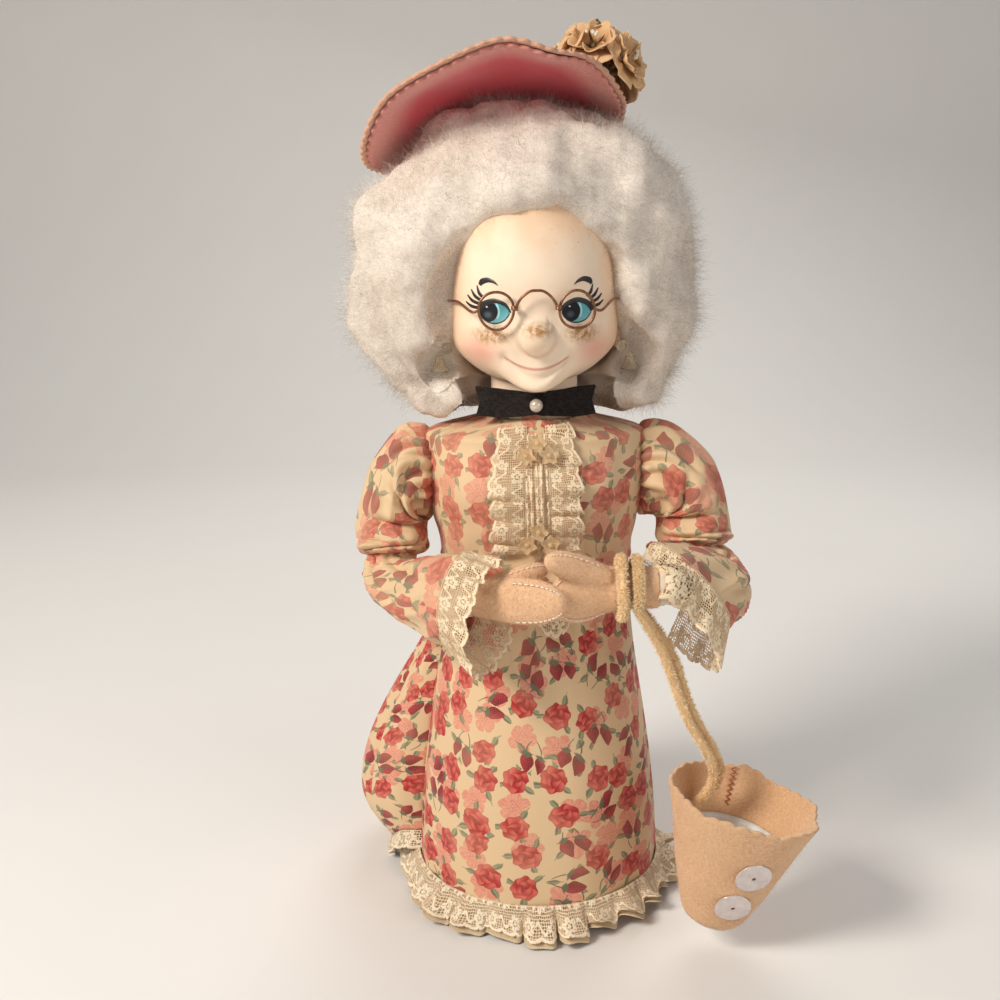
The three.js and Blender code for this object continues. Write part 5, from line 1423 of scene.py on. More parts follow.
def stroke(path, widths, lift, n=40):
    """A painted brush stroke laid on the face: a ribbon along (x, z) points whose width swells and tapers."""
    t = np.linspace(0, 1, n)
    line = curve_through(path, t)
    wide = np.interp(t, np.linspace(0, 1, len(widths)), widths) / 2
    along = unit(np.gradient(line, axis=0))
    normal = np.stack([-along[:, 1], along[:, 0]], -1)
    across = np.linspace(-1, 1, 7)[None, :, None]
    flat = line[:, None] + normal[:, None] * wide[:, None, None] * across
    dome = 1 - 0.7 * across[..., 0] ** 2
    points = stack(flat[..., 0], face_y(flat[..., 0], flat[..., 1]) - lift * dome, flat[..., 1])
    return points.reshape(-1, 3), [grid_faces(n, 7)]


def eye_paint():
    """One painted eye in local millimetres: turquoise iris, black pupil at one side, and a pale crescent."""

    def build(net):
        x, z, _ = net.split(cloth_place(net))

        def oval(px, pz, wide, tall):
            """Distance from a middle, 1 on the oval's edge."""
            return net.far((x - px) / wide, (z - pz) / tall)

        streak = net.noise(net.join(net.math("ARCTAN2", z, x) * 3.0, oval(-1.0, 0.0, 9.0, 9.0)), 4.0, 2.0)
        blue = net.mix(streak, (0.04, 0.28, 0.34), (0.15, 0.48, 0.52))
        blue = net.mix(net.rise(z, 3.0, -3.5) * 0.35, blue, (0.32, 0.66, 0.68))
        iris = net.rise(oval(0.6, -0.2, 6.0, 5.4), 1.03, 0.97)
        colour = net.mix(iris, (0.86, 0.84, 0.78), blue)
        rim = net.rise(net.size(oval(0.6, -0.2, 6.0, 5.4) - 0.99), 0.07, 0.03)
        colour = net.mix(rim * 0.8, colour, (0.02, 0.10, 0.13))
        moon = net.rise(net.size(oval(-2.4, 0.0, 4.5, 4.7) - 1.0), 0.13, 0.05) * 0.8
        moon = moon * net.rise(x, 0.4, 1.2) * net.rise(z, -3.4, -2.2)
        colour = net.mix(moon, colour, (0.55, 0.83, 0.87))
        pupil = net.rise(oval(-2.6, 0.0, 4.2, 4.5), 1.03, 0.97)
        sheen = net.rise(oval(-2.8, -1.4, 2.4, 2.0), 1.0, 0.2) * 0.5
        colour = net.mix(pupil, colour, net.mix(sheen, (0.006, 0.007, 0.01), (0.11, 0.15, 0.20)))
        glint = net.rise(oval(-3.2, 2.0, 0.5, 0.4), 1.1, 0.6) * 0.7
        colour = net.mix(glint, colour, (0.95, 0.96, 0.95))
        return net.coat(colour, streak, 0.00003, 0.2)

    return material("eye paint", build, 0.5, Specular_IOR_Level=0.25)


def build_face_paint():
    """Eyes as almond patches that lie on the face, and black brush strokes for lids, lashes and brows."""
    black = mottled("black paint", (0.012, 0.009, 0.008), (0.03, 0.02, 0.016), 400.0, 0.00005, 0.4)
    strokes = []
    for side, (cx, cz) in EYES.items():
        u, v = grid(56, 40)
        s = (2 * u - 1) * 0.998
        top = 4.5 * (1 - s * s) ** 0.62
        low = -5.0 * (1 - s * s) ** 0.55
        x, z = 6.9 * s, low + (top - low) * v
        fx, fz = cx + EYE_SCALE * x, cz + EYE_SCALE * z
        points = stack(fx, face_y(fx, fz) - 0.14, fz)
        obj = new_piece(side + "_eye", points, grid_faces(56, 40), uv=corner_uv(np.stack([x, z], -1)))
        dress(obj, "head", eye_paint(), "vinyl")
        sign = -1 if side == "right" else 1
        lid = np.array([[-6.9, 0.4], [-4.8, 3.0], [0, 4.6], [4.6, 3.1], [7.3, -0.2]]) * EYE_SCALE + [cx, cz]
        thick = [2.0, 2.3, 2.0, 1.5, 0.5] if sign < 0 else [0.5, 1.5, 2.0, 2.3, 2.0]
        strokes.append(stroke(lid, thick, 0.3))
        under = np.array([[-6.6, -1.0], [-4, -3.9], [0, -5.0], [4, -3.9], [6.6, -1.0]]) * EYE_SCALE + [cx, cz]
        strokes.append(stroke(under, [0.3, 0.5, 0.55, 0.5, 0.3], 0.25))
        for start, end in LASHES:
            middle = np.add(start, end) / 2 + [0.4, -0.5]
            lash = np.array([start, middle, end]) * [sign, 1] + [cx, cz]
            strokes.append(stroke(lash, [1.3, 1.25, 0.5], 0.22, 14))
        strokes.append(stroke(np.array(BROW) * [sign, 1], [1.2, 2.3, 1.9, 1.1, 0.2], 0.25))
    dress(new_piece("face_brush_strokes", *merged(strokes)), "head", black, "vinyl")


WIRE_RADIUS = 0.55


def build_spectacles():
    """Copper wire: two bent loops, an arched bridge with a twist at each end, and a side wire to each ear."""
    look = mottled("copper wire", (0.36, 0.17, 0.09), (0.20, 0.09, 0.05), 500.0, 0.0001, 0.38, Metallic=0.85)
    turn = np.linspace(0, 1, 73)
    parts = []
    for side in (-1, 1):
        start = 0.0 if side < 0 else 0.5
        back = 1.5 * (1 - turn if side < 0 else turn)
        wobble = 1 + 0.02 * np.sin(TAU * 3 * turn)
        angle = TAU * (start + turn)
        x = side * 15.4 + 6.7 * wobble * np.cos(angle)
        z = 258.5 + 7.1 * wobble * np.sin(angle)
        parts.append(tubes(stack(x, -40.95 + back, z), WIRE_RADIUS, 10))
        coil = np.linspace(0, 3 * TAU, 60)
        twist = stack(side * 8.4 + np.cos(coil), -41.0 + np.sin(coil), 258.7 + 0.5 * coil / TAU)
        parts.append(tubes(twist, 0.4, 8))
    arch = [(-8.6, -41.0, 258.5), (-6.0, -41.95, 263), (-2.8, -42.5, 265.6), (0, -42.55, 266)]
    arch += [(-x, y, z) for x, y, z in arch[-2::-1]]
    parts.append(tubes(curve_through(arch, np.linspace(0, 1, 60)), WIRE_RADIUS, 10))
    dress(new_piece("spectacle_loops", *merged(parts)), "head", look, "copper_wire", "spectacles")
    for name, side in (("right", -1), ("left", 1)):
        rows = [np.array([side * 22.1, -40.4, 258.6]), np.array([side * 25.0, -38.6, 258.2])]
        rows += [egg_point(HEAD, side * a, 0.075, g) for a, g in ((0.15, 3), (0.2, 1.8), (0.235, 0.95))]
        wire = tubes(curve_through(rows, np.linspace(0, 1, 40)), WIRE_RADIUS, 10)
        dress(new_piece(name + "_side_wire", *wire), "head", look, "copper_wire", name + "_temple")


def node_centre(name):
    """The middle of a solid's box, in millimetres."""
    low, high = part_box(name)
    return (np.array(low) + np.array(high)) / 2 / MM


def build_earrings():
    """A round clear bead with a flared bell bead under it, on each side."""
    glass = clear_bead("earring glass", 0.9, (1.0, 0.96, 0.86), (1.0, 0.92, 0.76))
    tall = 6.5
    for name in ("right", "left"):
        bead = new_piece(name + "_ear_bead", *ball(node_centre(name + "_earring_bead"), 2.2, 28, 16))
        dress(bead, "head", glass, "clear_bead", name + "_earring_bead")
        t = np.linspace(0, 1, 14)
        outside = np.stack([1.4 + 2.6 * t ** 1.7, -tall * t], -1)[::-1]
        inside = np.stack([1.0 + 2.1 * t[3:] ** 1.7, -tall * t[3:]], -1)
        points, faces = lathe(np.concatenate([[(0, -1.4)], inside, outside, [(0, 0)]]), 40)
        points = points + node_centre(name + "_earring_bell") + [0, 0, tall / 2]
        bell = new_piece(name + "_ear_bell", points, faces)
        dress(bell, "head", glass, "clear_bead", name + "_earring_bell")


def swirl(p, seed, pitch):
    """A smooth direction field in space, for combed locks."""
    return np.stack([lumps(p, seed + i, pitch) for i in range(3)], -1)


HAIR_ARCH = (
    (41, 3, 228), (41, 1, 239), (39.5, -5, 249), (38, -11, 261),
    (35.2, -12, 277), (30, -15, 289), (17.5, -21.5, 300), (0, -24.8, 305),
)
HAIR_LOBES = (
    (41, 1.5, 238, 9.8), (50, -5, 239, 9.5), (44.5, -4, 226, 7.5),
    (42, -9, 224.5, 5.8), (41.5, -15, 222.5, 4.6),
)
BOW_CLEAR = 36.0
SHOULDER_CLEAR_Z = 212.5


def hair_skin():
    """The hair's solid, rolls round the face and the nape, and lobes at the ears, made one skin."""
    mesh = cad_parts["hair"].data.copy()
    work = bmesh.new()
    work.from_mesh(mesh)
    bmesh.ops.remove_doubles(work, verts=work.verts, dist=1e-6)
    other = [(13, -23.5, 300), (23.5, -18.5, 291), *HAIR_ARCH[4::-1]]
    path = curve_through([*HAIR_ARCH, *[(-x, y, z) for x, y, z in other]], np.linspace(0, 1, 90))
    nape = tubes(about_z(31, np.linspace(0.045, 0.455, 40) * TAU, 223.5), 7.5, 12)
    lobes = [ball(np.array([side * x, y, z]), r, 24, 16) for side in (-1, 1) for x, y, z, r in HAIR_LOBES]
    rolls = merged([tubes(path, 7.2 + 0.5 * np.sin(np.linspace(0, 19, 90)), 16), nape, *lobes])
    roll = new_piece("roll", *rolls)
    work.from_mesh(roll.data)
    bpy.data.objects.remove(roll)
    work.to_mesh(mesh)
    work.free()
    obj = bpy.data.objects.new("hair_wool", mesh)
    bpy.context.scene.collection.objects.link(obj)
    return obj, fused(obj, "hair_wool", 1.9, 24)


def shape_wool(mesh):
    """Swells the skin unevenly, draws its bottom in and keeps it clear of the bow."""
    points, normals = mesh_points(mesh)
    swell = 2.8 * lumps(points, 81, 36) + 0.7 * lumps(points, 82, 15) + 0.3 * lumps(points, 83, 6)
    calm = np.maximum(ease((np.hypot(points[:, 0], points[:, 1]) - 38) / 8), ease((points[:, 2] - 228) / 12))
    points = points + normals * (swell * calm - 0.4)[:, None]
    wide = np.maximum(np.abs(points[:, 0]) - 46, 0)
    points[:, 0] -= np.sign(points[:, 0]) * 0.42 * wide * ease((252 - points[:, 2]) / 34)
    reach = np.hypot(points[:, 0], points[:, 1])
    near = (points[:, 2] < 229) & (points[:, 1] < 1) & (reach < BOW_CLEAR)
    points[near, :2] *= (BOW_CLEAR / reach[near])[:, None]
    mesh.vertices.foreach_set("co", (points * MM).astype(np.float32).ravel())
    # The skin takes the colour three quarters of the way from root to tip, so it carries a little of the
    # roots' painted shade.
    mark_along(mesh, np.full(len(points), 0.75))
    mesh.update()


def hair_fibres(mesh):
    """Roots, normals, aims and lengths of ruffled fibres that stay off the face, bow and shoulders."""
    roots, normals = scatter(mesh, sizes().hair_fibres, 84)
    inside = ((roots - [0, -3, 256]) / [36.5, 38, 61]) ** 2
    rings = np.hypot(np.abs(roots[:, 0]) - 40.5, roots[:, 2] - 237.5)
    keep = (inside.sum(1) > 1.0) & ((rings > 5.6) | (roots[:, 1] > 4))
    roots, normals = roots[keep], normals[keep]
    comb = unit(np.cross(normals, swirl(roots, 85, 22)))
    rng = np.random.default_rng(88)
    count = len(roots)
    lift = rng.uniform(0.0, 1.0, (count, 1)) ** 2
    aims = 0.7 * comb + normals * (0.1 + 0.8 * lift) + 0.75 * rng.normal(size=roots.shape)
    length = rng.uniform(2.5, 6.5, count) + 3.0 * rng.random(count) ** 6
    inner = ((roots[:, 2] < 234) & (np.hypot(roots[:, 0], roots[:, 1]) < 46))[:, None]
    aims = aims + np.where(inner, 0.5 * normals, 0)
    length = np.where(inner[:, 0], 0.75 * length, length)
    tips = roots + unit(aims) * length[:, None]
    low = np.minimum(tips[:, 2], roots[:, 2])
    near = np.minimum(np.hypot(tips[:, 0], tips[:, 1]), np.hypot(roots[:, 0], roots[:, 1]))
    free = (low > SHOULDER_CLEAR_Z) & ((low > 231) | (near > BOW_CLEAR - 0.4) | (tips[:, 1] > 6))
    return roots[free], normals[free], aims[free], length[free]


def build_hair():
    """Cotton-wool hair: one soft skin under fine curled fibre."""
    obj, mesh = hair_skin()
    shape_wool(mesh)
    wool = fluff("wool", (0.62, 0.53, 0.44), tuple(colours().hair), 0.95)
    wisps = fluff("wool wisps", (0.73, 0.65, 0.56), tuple(colours().hair), 0.95, Alpha=0.45)
    dress(obj, "head", wool, "wool", "hair")
    roots, normals, aims, length = hair_fibres(mesh)
    parts = 3
    for i in range(parts):
        part = slice(i, None, parts)
        points, faces, along = fibres(roots[part], aims[part], length[part], 0.17, 0.8, 90 + i, normals[part])
        # Hair fibres start a third of the way along, so their roots carry only part of the painted shade.
        fuzz = new_piece(f"hair_fluff_{i + 1}", points, faces, along=0.35 + 0.65 * along)
        fuzz.data.normals_split_custom_set_from_vertices(np.repeat(normals[part], FIBRE_POINTS, axis=0))
        dress(fuzz, "head", wisps, "wool")


HAT_WIDE, HAT_DEEP = 57, 52


def hat_turn(p):
    """The hat's tilt: back, and down to the doll's right."""
    return rot_y(rot_x(p, -24), -9)


def hat_point(a, b, lift):
    """A place on the hat: a disc that droops to both sides, less to its right, and tilts back."""
    z = lift - np.where(a < 0, 16, 22) * a * a - 8 * b * b
    return hat_turn(stack(HAT_WIDE * a, HAT_DEEP * b, z)) + [-14, 20, 342]


def hat_layer(name, size, lift, scallops):
    """A felt disc made from a square grid; the rim is cut into small round scallops."""
    u, v = grid(130, 130)
    s, t = 2 * u - 1, 2 * v - 1
    a, b = s * np.sqrt(1 - t * t / 2), t * np.sqrt(1 - s * s / 2)
    rim = np.hypot(a, b)
    turn = np.arctan2(b, a)
    pinked = 1 + (0.02 * np.abs(np.sin(scallops / 2 * turn)) - 0.005) * rim ** 10
    wavy = 0.9 * ripples(3 * a, 3 * b, 91) + 1.2 * rim ** 3 * np.sin(uneven(turn / TAU, 7, 92))
    reach = size * pinked * np.where(a > 0, 1 - 0.12 * a, 1.02)
    points = hat_point(a * reach, b * size * pinked, lift + wavy)
    uv = np.stack([5.7 * a, 5.2 * b], -1)
    return cloth(name, points, uv, thick=1.5)


def build_hat():
    """Two felt layers: tan above, dusty pink below, deep crimson under the middle."""
    top = hat_layer("hat_top_felt", 1.0, -0.8, 68)
    dress(top, "head", felt("hat felt", tuple(colours().hat), (0.56, 0.30, 0.19)), "tan_felt", "hat_felt")

    def lining(net):
        pink, dark = (0.72, 0.31, 0.26), (0.58, 0.20, 0.17)
        made = net.use(felt_group(), Place=solid_place(net), Light=pink, Dark=dark)
        x, y, _ = net.split(cloth_place(net))
        # Painted shade and red bounce light, together with a deeper felt colour, darken the middle of the
        # lining to crimson.
        middle = net.rise(net.far(x, y), 5.1, 3.6)
        colour = net.mix(middle * 0.92, made["Color"], (0.60, 0.035, 0.06))
        return net.coat(colour, made["Height"], 0.0003, 0.7)

    under = hat_layer("hat_lining_felt", 1 - 2.5 / HAT_WIDE, -2.8, 64)
    dress(under, "head", material("hat lining", lining, 0.95, Sheen_Weight=0.25), "pink_felt", "hat_lining")


POSY = hat_point(np.array(0.72), np.array(-0.2), 7.4) + [-1, -2, -1]
DROOP = (10, 38, 42, 38, 26, 2)


def posy_frame(turn, rise):
    """Foot, aim and two cross directions of a stem that leaves the posy's heart."""
    rise = math.radians(rise)
    aim = hat_turn(about_z(math.cos(rise), TAU * turn, math.sin(rise)))
    side = unit(np.cross(aim, [0.3, 1.0, 0.1]))
    return POSY + aim * 7.0, aim, side, np.cross(aim, side)


def dried_petal():
    """Veined tan petals, pale at the edge and dark at the foot."""

    def build(net):
        x, y, _ = net.split(cloth_place(net))
        vein = net.noise(net.join(x * 9.0, y), 3.0, 3.0)
        colour = net.mix(vein, (0.70, 0.42, 0.20), (0.50, 0.26, 0.11))
        edge = net.rise(y + (net.noise(cloth_place(net), 6.0) - 0.5) * 0.5, 0.55, 0.95)
        colour = net.mix(edge * 0.6, colour, (0.80, 0.54, 0.31))
        base = net.rise(y, 0.3, 0.05)
        colour = net.mix(base * 0.7, colour, (0.20, 0.10, 0.035))
        return net.coat(colour, vein, 0.0004, 0.7)

    soak = (0.002, 0.001, 0.0005)
    return material("dried petal", build, 0.8, Subsurface_Weight=0.1, Subsurface_Radius=soak)


def build_flowers():
    """Dried blossoms: each has two rings of cupped petals with ragged, curled edges on a short stem."""
    nu, nv, petals = 13, 12, 5
    p, q = grid(nu, nv)
    w = 2 * p - 1
    stems, seeds = [], []
    for i in range(7):
        foot, aim, side, other = posy_frame((i + 0.5) / 6, DROOP[i]) if i < 6 else posy_frame(0.0, 84)
        rng = np.random.default_rng(100 + i)
        corners, uvs, faces = [], [], []
        for ring, (reach, tall, curl) in enumerate(((12.2, 1.6, 1.2), (8.8, 4.6, 0))):
            for k in range(petals):
                mid = TAU * (k + 0.5 * ring) / petals + rng.uniform(-0.15, 0.15)
                ragged = ripples(6 * p, 3 * q, 200 + 20 * i + 7 * k + ring)
                r = 1.0 + reach * q * (1 - 0.34 * w ** 4 * q + 0.04 * ragged * q)
                turn = mid + w * (0.7 * q ** 0.3) + 0.05 * ragged * q
                h = 6 + tall * q ** 1.4 + 1.4 * w * w * q + 0.6 * ragged * q * q
                h = h - curl * np.exp(-((q - 1) / 0.2) ** 2) + 0.6 * np.sin(4.5 * w + k) * q * q
                faces.append(grid_faces(nu, nv) + len(corners) * nu * nv)
                corners.append(foot + about_z(r, turn, h) @ [side, other, aim])
                uvs.append(corner_uv(np.stack([p + k, q], -1)))
        obj = new_piece(f"blossom_{i + 1}", corners, np.concatenate(faces), uv=np.concatenate(uvs))
        thicken(obj, 0.3)
        dress(obj, "head", dried_petal(), "dried_petal", f"hat_flower_{i + 1}")
        stalk = foot + np.linspace(0, 7.2, 8)[:, None] * aim
        stems.append(tubes(stalk, 1.0, 10))
        for k in range(7):
            spread = rng.uniform(0.3, 2.6)
            turn = rng.uniform(0, TAU)
            at = foot + about_z(spread, turn, rng.uniform(10, 13)) @ [side, other, aim]
            seeds.append(ball(at, rng.uniform(0.5, 0.95), 10, 6))
    pale = mottled("dry white buds", (0.82, 0.76, 0.62), (0.62, 0.52, 0.36), 500.0, 0.0001, 0.7)
    dress(new_piece("posy_buds", *merged(seeds)), "head", pale, "dried_petal")
    heart, faces = ball(np.zeros(3), 6.0, 48, 30)
    heart = heart * (1 + 0.03 * np.sin(7 * heart[:, 2:3] + 3 * heart[:, :1])) + POSY
    dry = mottled("dry stems", (0.36, 0.27, 0.13), (0.20, 0.14, 0.06), 400.0, 0.0003, 0.85)
    bunch = new_piece("posy_stems", *merged([(heart, faces), *stems]))
    dress(bunch, "head", dry, "dried_stem", "flower_stems")

    def leaf(net):
        x, y, _ = net.split(cloth_place(net))
        vein = net.rise(net.size(net.wave(y * 30.0 + net.size(x) * 16.0)), 0.3, 0.1)
        tone = net.noise(cloth_place(net), 5.0, 3.0)
        colour = net.mix(tone, (0.055, 0.085, 0.035), (0.10, 0.10, 0.035))
        colour = net.mix(vein * 0.35, colour, (0.20, 0.19, 0.08))
        return net.coat(colour, vein * -1.0 + tone, 0.0003, 0.7)

    for i, turn in ((1, 0.33), (2, 0.83)):
        foot, aim, side, other = posy_frame(turn, 64)
        p, q = grid(15, 26)
        w = (2 * p - 1) * 3.6 * np.sin(math.pi * np.clip(q, 0.02, 0.98)) ** 0.8
        bend = 1.6 * q * q - 0.05 * w * w + 0.3 * np.sin(8 * q) * w * 0.3
        points = foot + w[..., None] * side + (14 * q)[..., None] * aim + bend[..., None] * other
        obj = cloth(f"posy_leaf_{i}", points, np.stack([w / 3.6, q], -1), thick=0.4)
        dress(obj, "head", material("dark leaf", leaf, 0.6), "leaf", f"hat_leaf_{i}")


# Basket


BASKET_LEAN = 13
BASKET_TALL = 52


def in_basket(p):
    """Points of the basket's own frame, leaning to the doll's left."""
    return rot_y(np.asarray(p, float), BASKET_LEAN) + [69.5, -60, 14]


def felt_radius(s):
    """The basket's outside at a height: a cone that opens a little faster low down."""
    return 12 + 18 * (np.clip(s, 0, 60) / BASKET_TALL) ** 0.85


def build_basket():
    """A felt cone with a pinked, wavy rim, a white cup inside, a card base, red stitches and two sequins."""
    nu, nv = 260, 60
    u, v = ring_grid(nu, nv)
    rim = ease((v - 0.75) / 0.25)
    s = BASKET_TALL * v + rim * (0.9 * np.sin(uneven(u, 6, 111)) + 0.9 * np.abs(np.sin(TAU * 15 * u)))
    r = felt_radius(s) - 0.8 + rim * 0.9 * np.sin(uneven(u, 5, 112)) + 0.25 * ripples(9 * u, 5 * v, 113)
    points = in_basket(about_z(r, TAU * u, s))
    uv = ring_uv(nu, 14.0, np.linspace(0, 5.6, nv))
    wall = cloth("basket_felt_wall", points, uv, wrap=True, thick=1.5)
    look = felt("basket felt", (0.79, 0.51, 0.30), (0.61, 0.36, 0.19))
    dress(wall, "basket", look, "peach_felt", "basket_felt")
    rng = np.random.default_rng(114)
    turn, up = rng.random((2, sizes().felt_fibres))
    out = about_z(1.0, TAU * turn, -0.3)
    roots = about_z(felt_radius(BASKET_TALL * up) - 0.1, TAU * turn, BASKET_TALL * up)
    aims = rot_y(out + 1.2 * rng.normal(size=out.shape), BASKET_LEAN)
    length = rng.uniform(0.6, 1.8, len(roots))
    fuzz = new_piece("basket_fuzz", *fibres(in_basket(roots), aims, length, 0.1, 0.5, 115))
    dress(fuzz, "basket", fluff("basket fuzz", (0.72, 0.46, 0.28), (0.90, 0.66, 0.46)), "peach_felt")

    steps = np.linspace(0.5, 33.5, 18)
    outer = np.stack([felt_radius(steps) - 2.2, steps], -1)
    inner = np.stack([felt_radius(steps) - 3.0, np.maximum(steps, 1.3)], -1)[::-1]
    points, faces = lathe(np.concatenate([[(0, 0.5)], outer, inner, [(0, 1.3)]]), 72)
    cup = new_piece("basket_white_cup", in_basket(points), faces)
    white = mottled("white cup", (0.80, 0.78, 0.74), (0.66, 0.62, 0.56), 200.0, 0.0001, 0.4)
    dress(cup, "basket", white, "cup_plastic", "basket_cup")
    edge = np.array([(0, -1.8), (10.4, -1.8), (11, -1.5), (11, -0.7), (10.6, -0.4), (0, -0.4)])
    points, faces = lathe(edge, 96)
    base = new_piece("basket_card_base", in_basket(points), faces)
    card = mottled("white card", (0.86, 0.80, 0.74), (0.72, 0.62, 0.55), 600.0, 0.0001, 0.85)
    dress(base, "basket", card, "card", "basket_base")

    n = np.arange(15)
    turn = TAU * (0.236 + 0.012 * (n % 2))
    s = 37 + n * 1.1
    r = felt_radius(s) - 1.9
    corners = in_basket(about_z(r, turn, s))
    line = np.stack([corners[:-1], 0.5 * (corners[:-1] + corners[1:]), corners[1:]], 1)
    red = mottled("red thread", (0.48, 0.15, 0.07), (0.34, 0.09, 0.04), 900.0, 0.0001, 0.6)
    dress(new_piece("basket_red_stitches", *tubes(line, 0.3, 6)), "basket", red, "peach_felt")

    light, dark = (0.80, 0.72, 0.68), (0.70, 0.62, 0.62)
    shine = mottled("pearly sequin", light, dark, 350.0, 0.00005, 0.2, Metallic=0.35, Coat_Weight=0.5)
    for name, turn, s in (("sequin_upper", -0.22, 31), ("sequin_lower", -0.235, 14)):
        slope = float(felt_radius(s + 1) - felt_radius(s - 1)) / 2
        facing = unit(about_z(1.0, TAU * turn, -slope))
        side = unit(np.cross([0, 0, 1], facing))
        up = np.cross(facing, side)
        ring = np.linspace(0, 1, 46)
        ridge = 0.09 * np.cos(ring * 9 * TAU) + 0.35 * (1 - ring ** 2)
        front = np.stack([0.9 + 6.3 * ring, 0.55 + ridge], -1)
        back = np.stack([7.2 - 6.3 * ring[::9], 0.1 + 0 * ring[::9]], -1)
        points, faces = turned(np.concatenate([front, back])[::-1], 72, closed=True)
        points = about_z(felt_radius(s), TAU * turn, s) + points @ [side, up, facing]
        obj = new_piece(name + "_disc", in_basket(points), faces)
        dress(obj, "basket", shine, "sequin", name)
    build_handle()


def build_handle():
    """One length of chenille: up from the basket's wall, round the wrist and down beside itself."""
    pair = np.array([0.6, 0.8, 0]) * 2.7
    wrist = wrist_point(37.5)
    turn = np.radians(-40 + 260 * np.arange(9) / 8)
    hook = wrist + stack(0, -10.9 * np.cos(turn), 10.9 * np.sin(turn))
    foot_z = 36.7
    foot_r = felt_radius(foot_z) - 5.2
    foot = in_basket([-0.735 * foot_r, 0.678 * foot_r, foot_z])
    rim = in_basket([-11, 11, 56])

    def strand(sign):
        return [
            wrist + (rim - wrist) * 0.36 + pair * sign * 1.1,
            wrist + (rim - wrist) * 0.68 + pair * sign,
            rim + pair * sign,
            foot + pair * sign,
        ]

    rows = [*strand(-1)[::-1], *hook, *strand(1)]
    path = curve_through(rows, np.linspace(0, 1, 260))
    path[:, 0] += 0.7 * np.sin(path[:, 2] * 0.11)
    chenille("handle_chenille", path, 1.4, 2.6, "basket", 76, "basket_handle", 60)


# Inner parts that stay as the frame has them, and the stage


def build_inner_parts():
    """Finishes for the parts inside the dress: bottle, stopper, card form and arm wires."""

    def glass(net):
        tone = net.noise(solid_place(net), 25.0, 3.0)
        colour = net.mix(tone, (0.50, 0.66, 0.46), (0.40, 0.56, 0.36))
        return net.coat(colour, tone, 0.0004, 0.2)

    wire = mottled("bare wire", (0.5, 0.5, 0.5), (0.36, 0.36, 0.36), 500.0, 0.0001, 0.35, Metallic=1.0)
    looks = {
        "bottle": material("green glass", glass, 0.05, Transmission_Weight=0.9, IOR=1.5),
        "bottle_stopper": mottled("cork", (0.58, 0.38, 0.20), (0.36, 0.21, 0.10), 350.0, 0.0004, 0.9),
        "skirt_form": mottled("grey card", (0.62, 0.55, 0.44), (0.52, 0.45, 0.35), 150.0, 0.0001, 0.9),
        "right_arm_wire": wire,
        "left_arm_wire": wire,
    }
    for name, look in looks.items():
        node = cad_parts[name]
        node.data.materials.clear()
        node.data.materials.append(look)


CAMERA = {"place": (-0.015, -0.5, 0.295), "tilt": 76.5, "roll": -0.85, "lens": 43.2, "sensor": 36}
LIT_POINT = (0, 0, 0.17)


def build_stage():
    """A pale floor that curves up behind in a quarter circle, three soft lights and the photo's camera."""
    scene = bpy.context.scene
    x = np.linspace(-6000, 6000, 12)[:, None]
    bend, curve = np.linspace(0, math.pi / 2, 24), 500
    y = np.concatenate([[-1500, 200], 900 + curve * np.sin(bend), [900 + curve]])
    z = np.concatenate([[0, 0], curve - curve * np.cos(bend), [2500]])
    floor = new_piece("studio_floor", stack(x, y, z - 0.05), grid_faces(len(x), len(y)))

    def paper(net):
        tone = net.noise(solid_place(net), 6.0, 3.0)
        colour = net.mix(tone, (0.80, 0.78, 0.75), (0.76, 0.74, 0.71))
        return net.coat(colour, tone, 0.0001, 0.1)

    floor.data.materials.append(material("studio paper", paper, 0.9))
    floor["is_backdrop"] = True
    for name, place, size, power, tint in (
        ("key_light", (-0.85, -0.62, 0.95), 0.4, 16.0, (1.0, 0.94, 0.86)),
        ("fill_light", (0.95, -0.85, 0.6), 0.9, 4.0, (1.0, 0.97, 0.94)),
        ("back_light", (0.2, 0.9, 1.0), 0.7, 6.0, (1.0, 0.98, 0.95)),
    ):
        lamp = bpy.data.lights.new(name, "AREA")
        lamp.size = size
        lamp.energy = power
        lamp.color = tint
        obj = bpy.data.objects.new(name, lamp)
        obj.location = place
        obj.rotation_euler = (Vector(LIT_POINT) - Vector(place)).to_track_quat("-Z", "Y").to_euler()
        scene.collection.objects.link(obj)
    world = bpy.data.worlds.new("studio")
    world.use_nodes = True
    sky = world.node_tree.nodes["Background"].inputs
    sky["Color"].default_value = (0.90, 0.90, 0.92, 1)
    sky["Strength"].default_value = 0.24
    scene.world = world
    camera = bpy.data.cameras.new("camera")
    camera.sensor_width = CAMERA["sensor"]
    camera.lens = CAMERA["lens"]
    camera.clip_start = 0.01
    obj = bpy.data.objects.new("camera", camera)
    tilt = Matrix.Rotation(math.radians(CAMERA["tilt"]), 4, "X")
    roll = Matrix.Rotation(math.radians(CAMERA["roll"]), 4, "Z")
    obj.matrix_world = Matrix.Translation(CAMERA["place"]) @ tilt @ roll
    scene.collection.objects.link(obj)
    scene.camera = obj
    scene.view_settings.view_transform = "Standard"


# Add-on: settings, one operator for each piece or group, and a panel


def colour_setting(name, description, default):
    return bpy.props.FloatVectorProperty(
        name=name, description=description, subtype="COLOR", size=3, min=0, max=1, default=default)


class DollColours(bpy.types.PropertyGroup):
    """Colours a maker may change."""

    cotton: colour_setting("Cotton", "Ground of the printed cotton", (0.74, 0.53, 0.315))
    face: colour_setting("Face", "Paint of the face", (0.93, 0.75, 0.57))
    hair: colour_setting("Hair", "Tips of the cotton-wool hair", (0.87, 0.80, 0.725))
    hat: colour_setting("Hat", "Felt on top of the hat", (0.73, 0.42, 0.30))


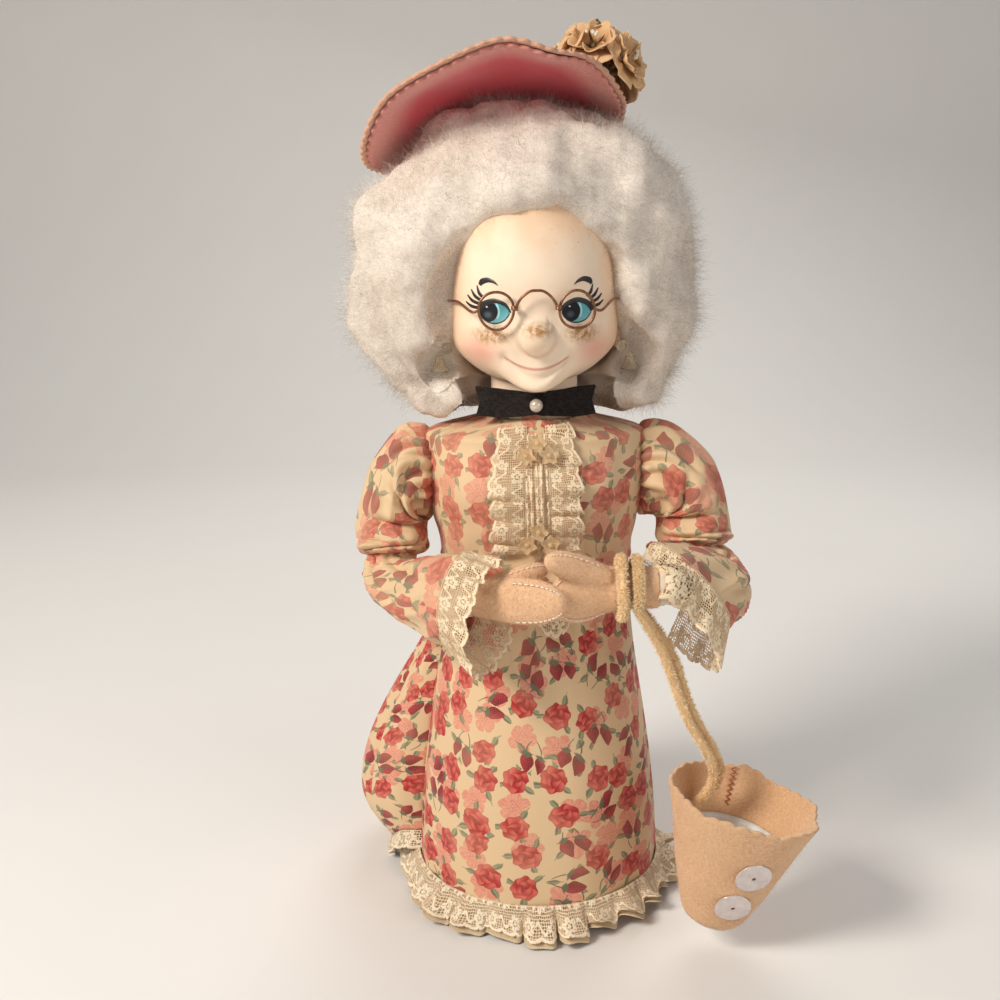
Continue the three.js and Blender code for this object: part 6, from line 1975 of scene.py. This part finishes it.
class DollSizes(bpy.types.PropertyGroup):
    """How much fibre the soft pieces carry."""

    hair_fibres: bpy.props.IntProperty(
        name="Hair fibres", description="Fibres laid over the hair", default=135000, min=1000, max=140000)
    felt_fibres: bpy.props.IntProperty(
        name="Felt fibres", description="Short fibres on each mitten", default=9000, min=100, max=40000)


def piece(label, build):
    """An operator class that builds one piece or group of like pieces."""
    key = label.lower().replace(" ", "_").replace("-", "_")

    def execute(self, context):
        build()
        return {"FINISHED"}

    return type("DOLL_OT_" + key, (bpy.types.Operator,), {
        "__doc__": build.__doc__,
        "bl_idname": "doll." + key,
        "bl_label": label,
        "execute": execute,
    })


PIECES = [piece(label, build) for label, build in {
    "Inner parts": build_inner_parts,
    "Skirt": build_skirt,
    "Hem frills": build_hem,
    "Bustle": build_bustle,
    "Bodice and collar": build_bodice,
    "Bow": build_bow,
    "Jabot": build_jabot,
    "Brooches": build_brooches,
    "Arm stuffing": build_stuffing,
    "Sleeves": build_sleeves,
    "Cuff lace": build_cuffs,
    "Mittens": build_mittens,
    "Wrist band": build_wrist_band,
    "Head": build_head,
    "Face paint": build_face_paint,
    "Spectacles": build_spectacles,
    "Earrings": build_earrings,
    "Hair": build_hair,
    "Hat": build_hat,
    "Flowers": build_flowers,
    "Basket": build_basket,
    "Stage": build_stage,
}.items()]


class DOLL_PT_maker(bpy.types.Panel):
    """Lists the settings and the pieces in the order they are made."""

    bl_label = "Bottle Doll"
    bl_space_type = "VIEW_3D"
    bl_region_type = "UI"
    bl_category = "Doll"

    def draw(self, context):
        for name in ("cotton", "face", "hair", "hat"):
            self.layout.prop(colours(), name)
        for name in ("hair_fibres", "felt_fibres"):
            self.layout.prop(sizes(), name)
        for made in PIECES:
            self.layout.operator(made.bl_idname)


CLASSES = [DollColours, DollSizes, *PIECES, DOLL_PT_maker]


def register():
    for made in CLASSES:
        bpy.utils.register_class(made)
    bpy.types.Scene.doll_colours = bpy.props.PointerProperty(type=DollColours)
    bpy.types.Scene.doll_sizes = bpy.props.PointerProperty(type=DollSizes)


def unregister():
    del bpy.types.Scene.doll_colours
    del bpy.types.Scene.doll_sizes
    for made in reversed(CLASSES):
        bpy.utils.unregister_class(made)


def main():
    register()
    plain = lambda box: [[float(n) for n in corner] for corner in box]
    solid = plain(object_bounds())
    for made in PIECES:
        getattr(bpy.ops.doll, made.bl_idname.split(".")[1])()
    {"cad": solid, "visual": plain(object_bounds())}


if __name__ == "__main__":
    main()
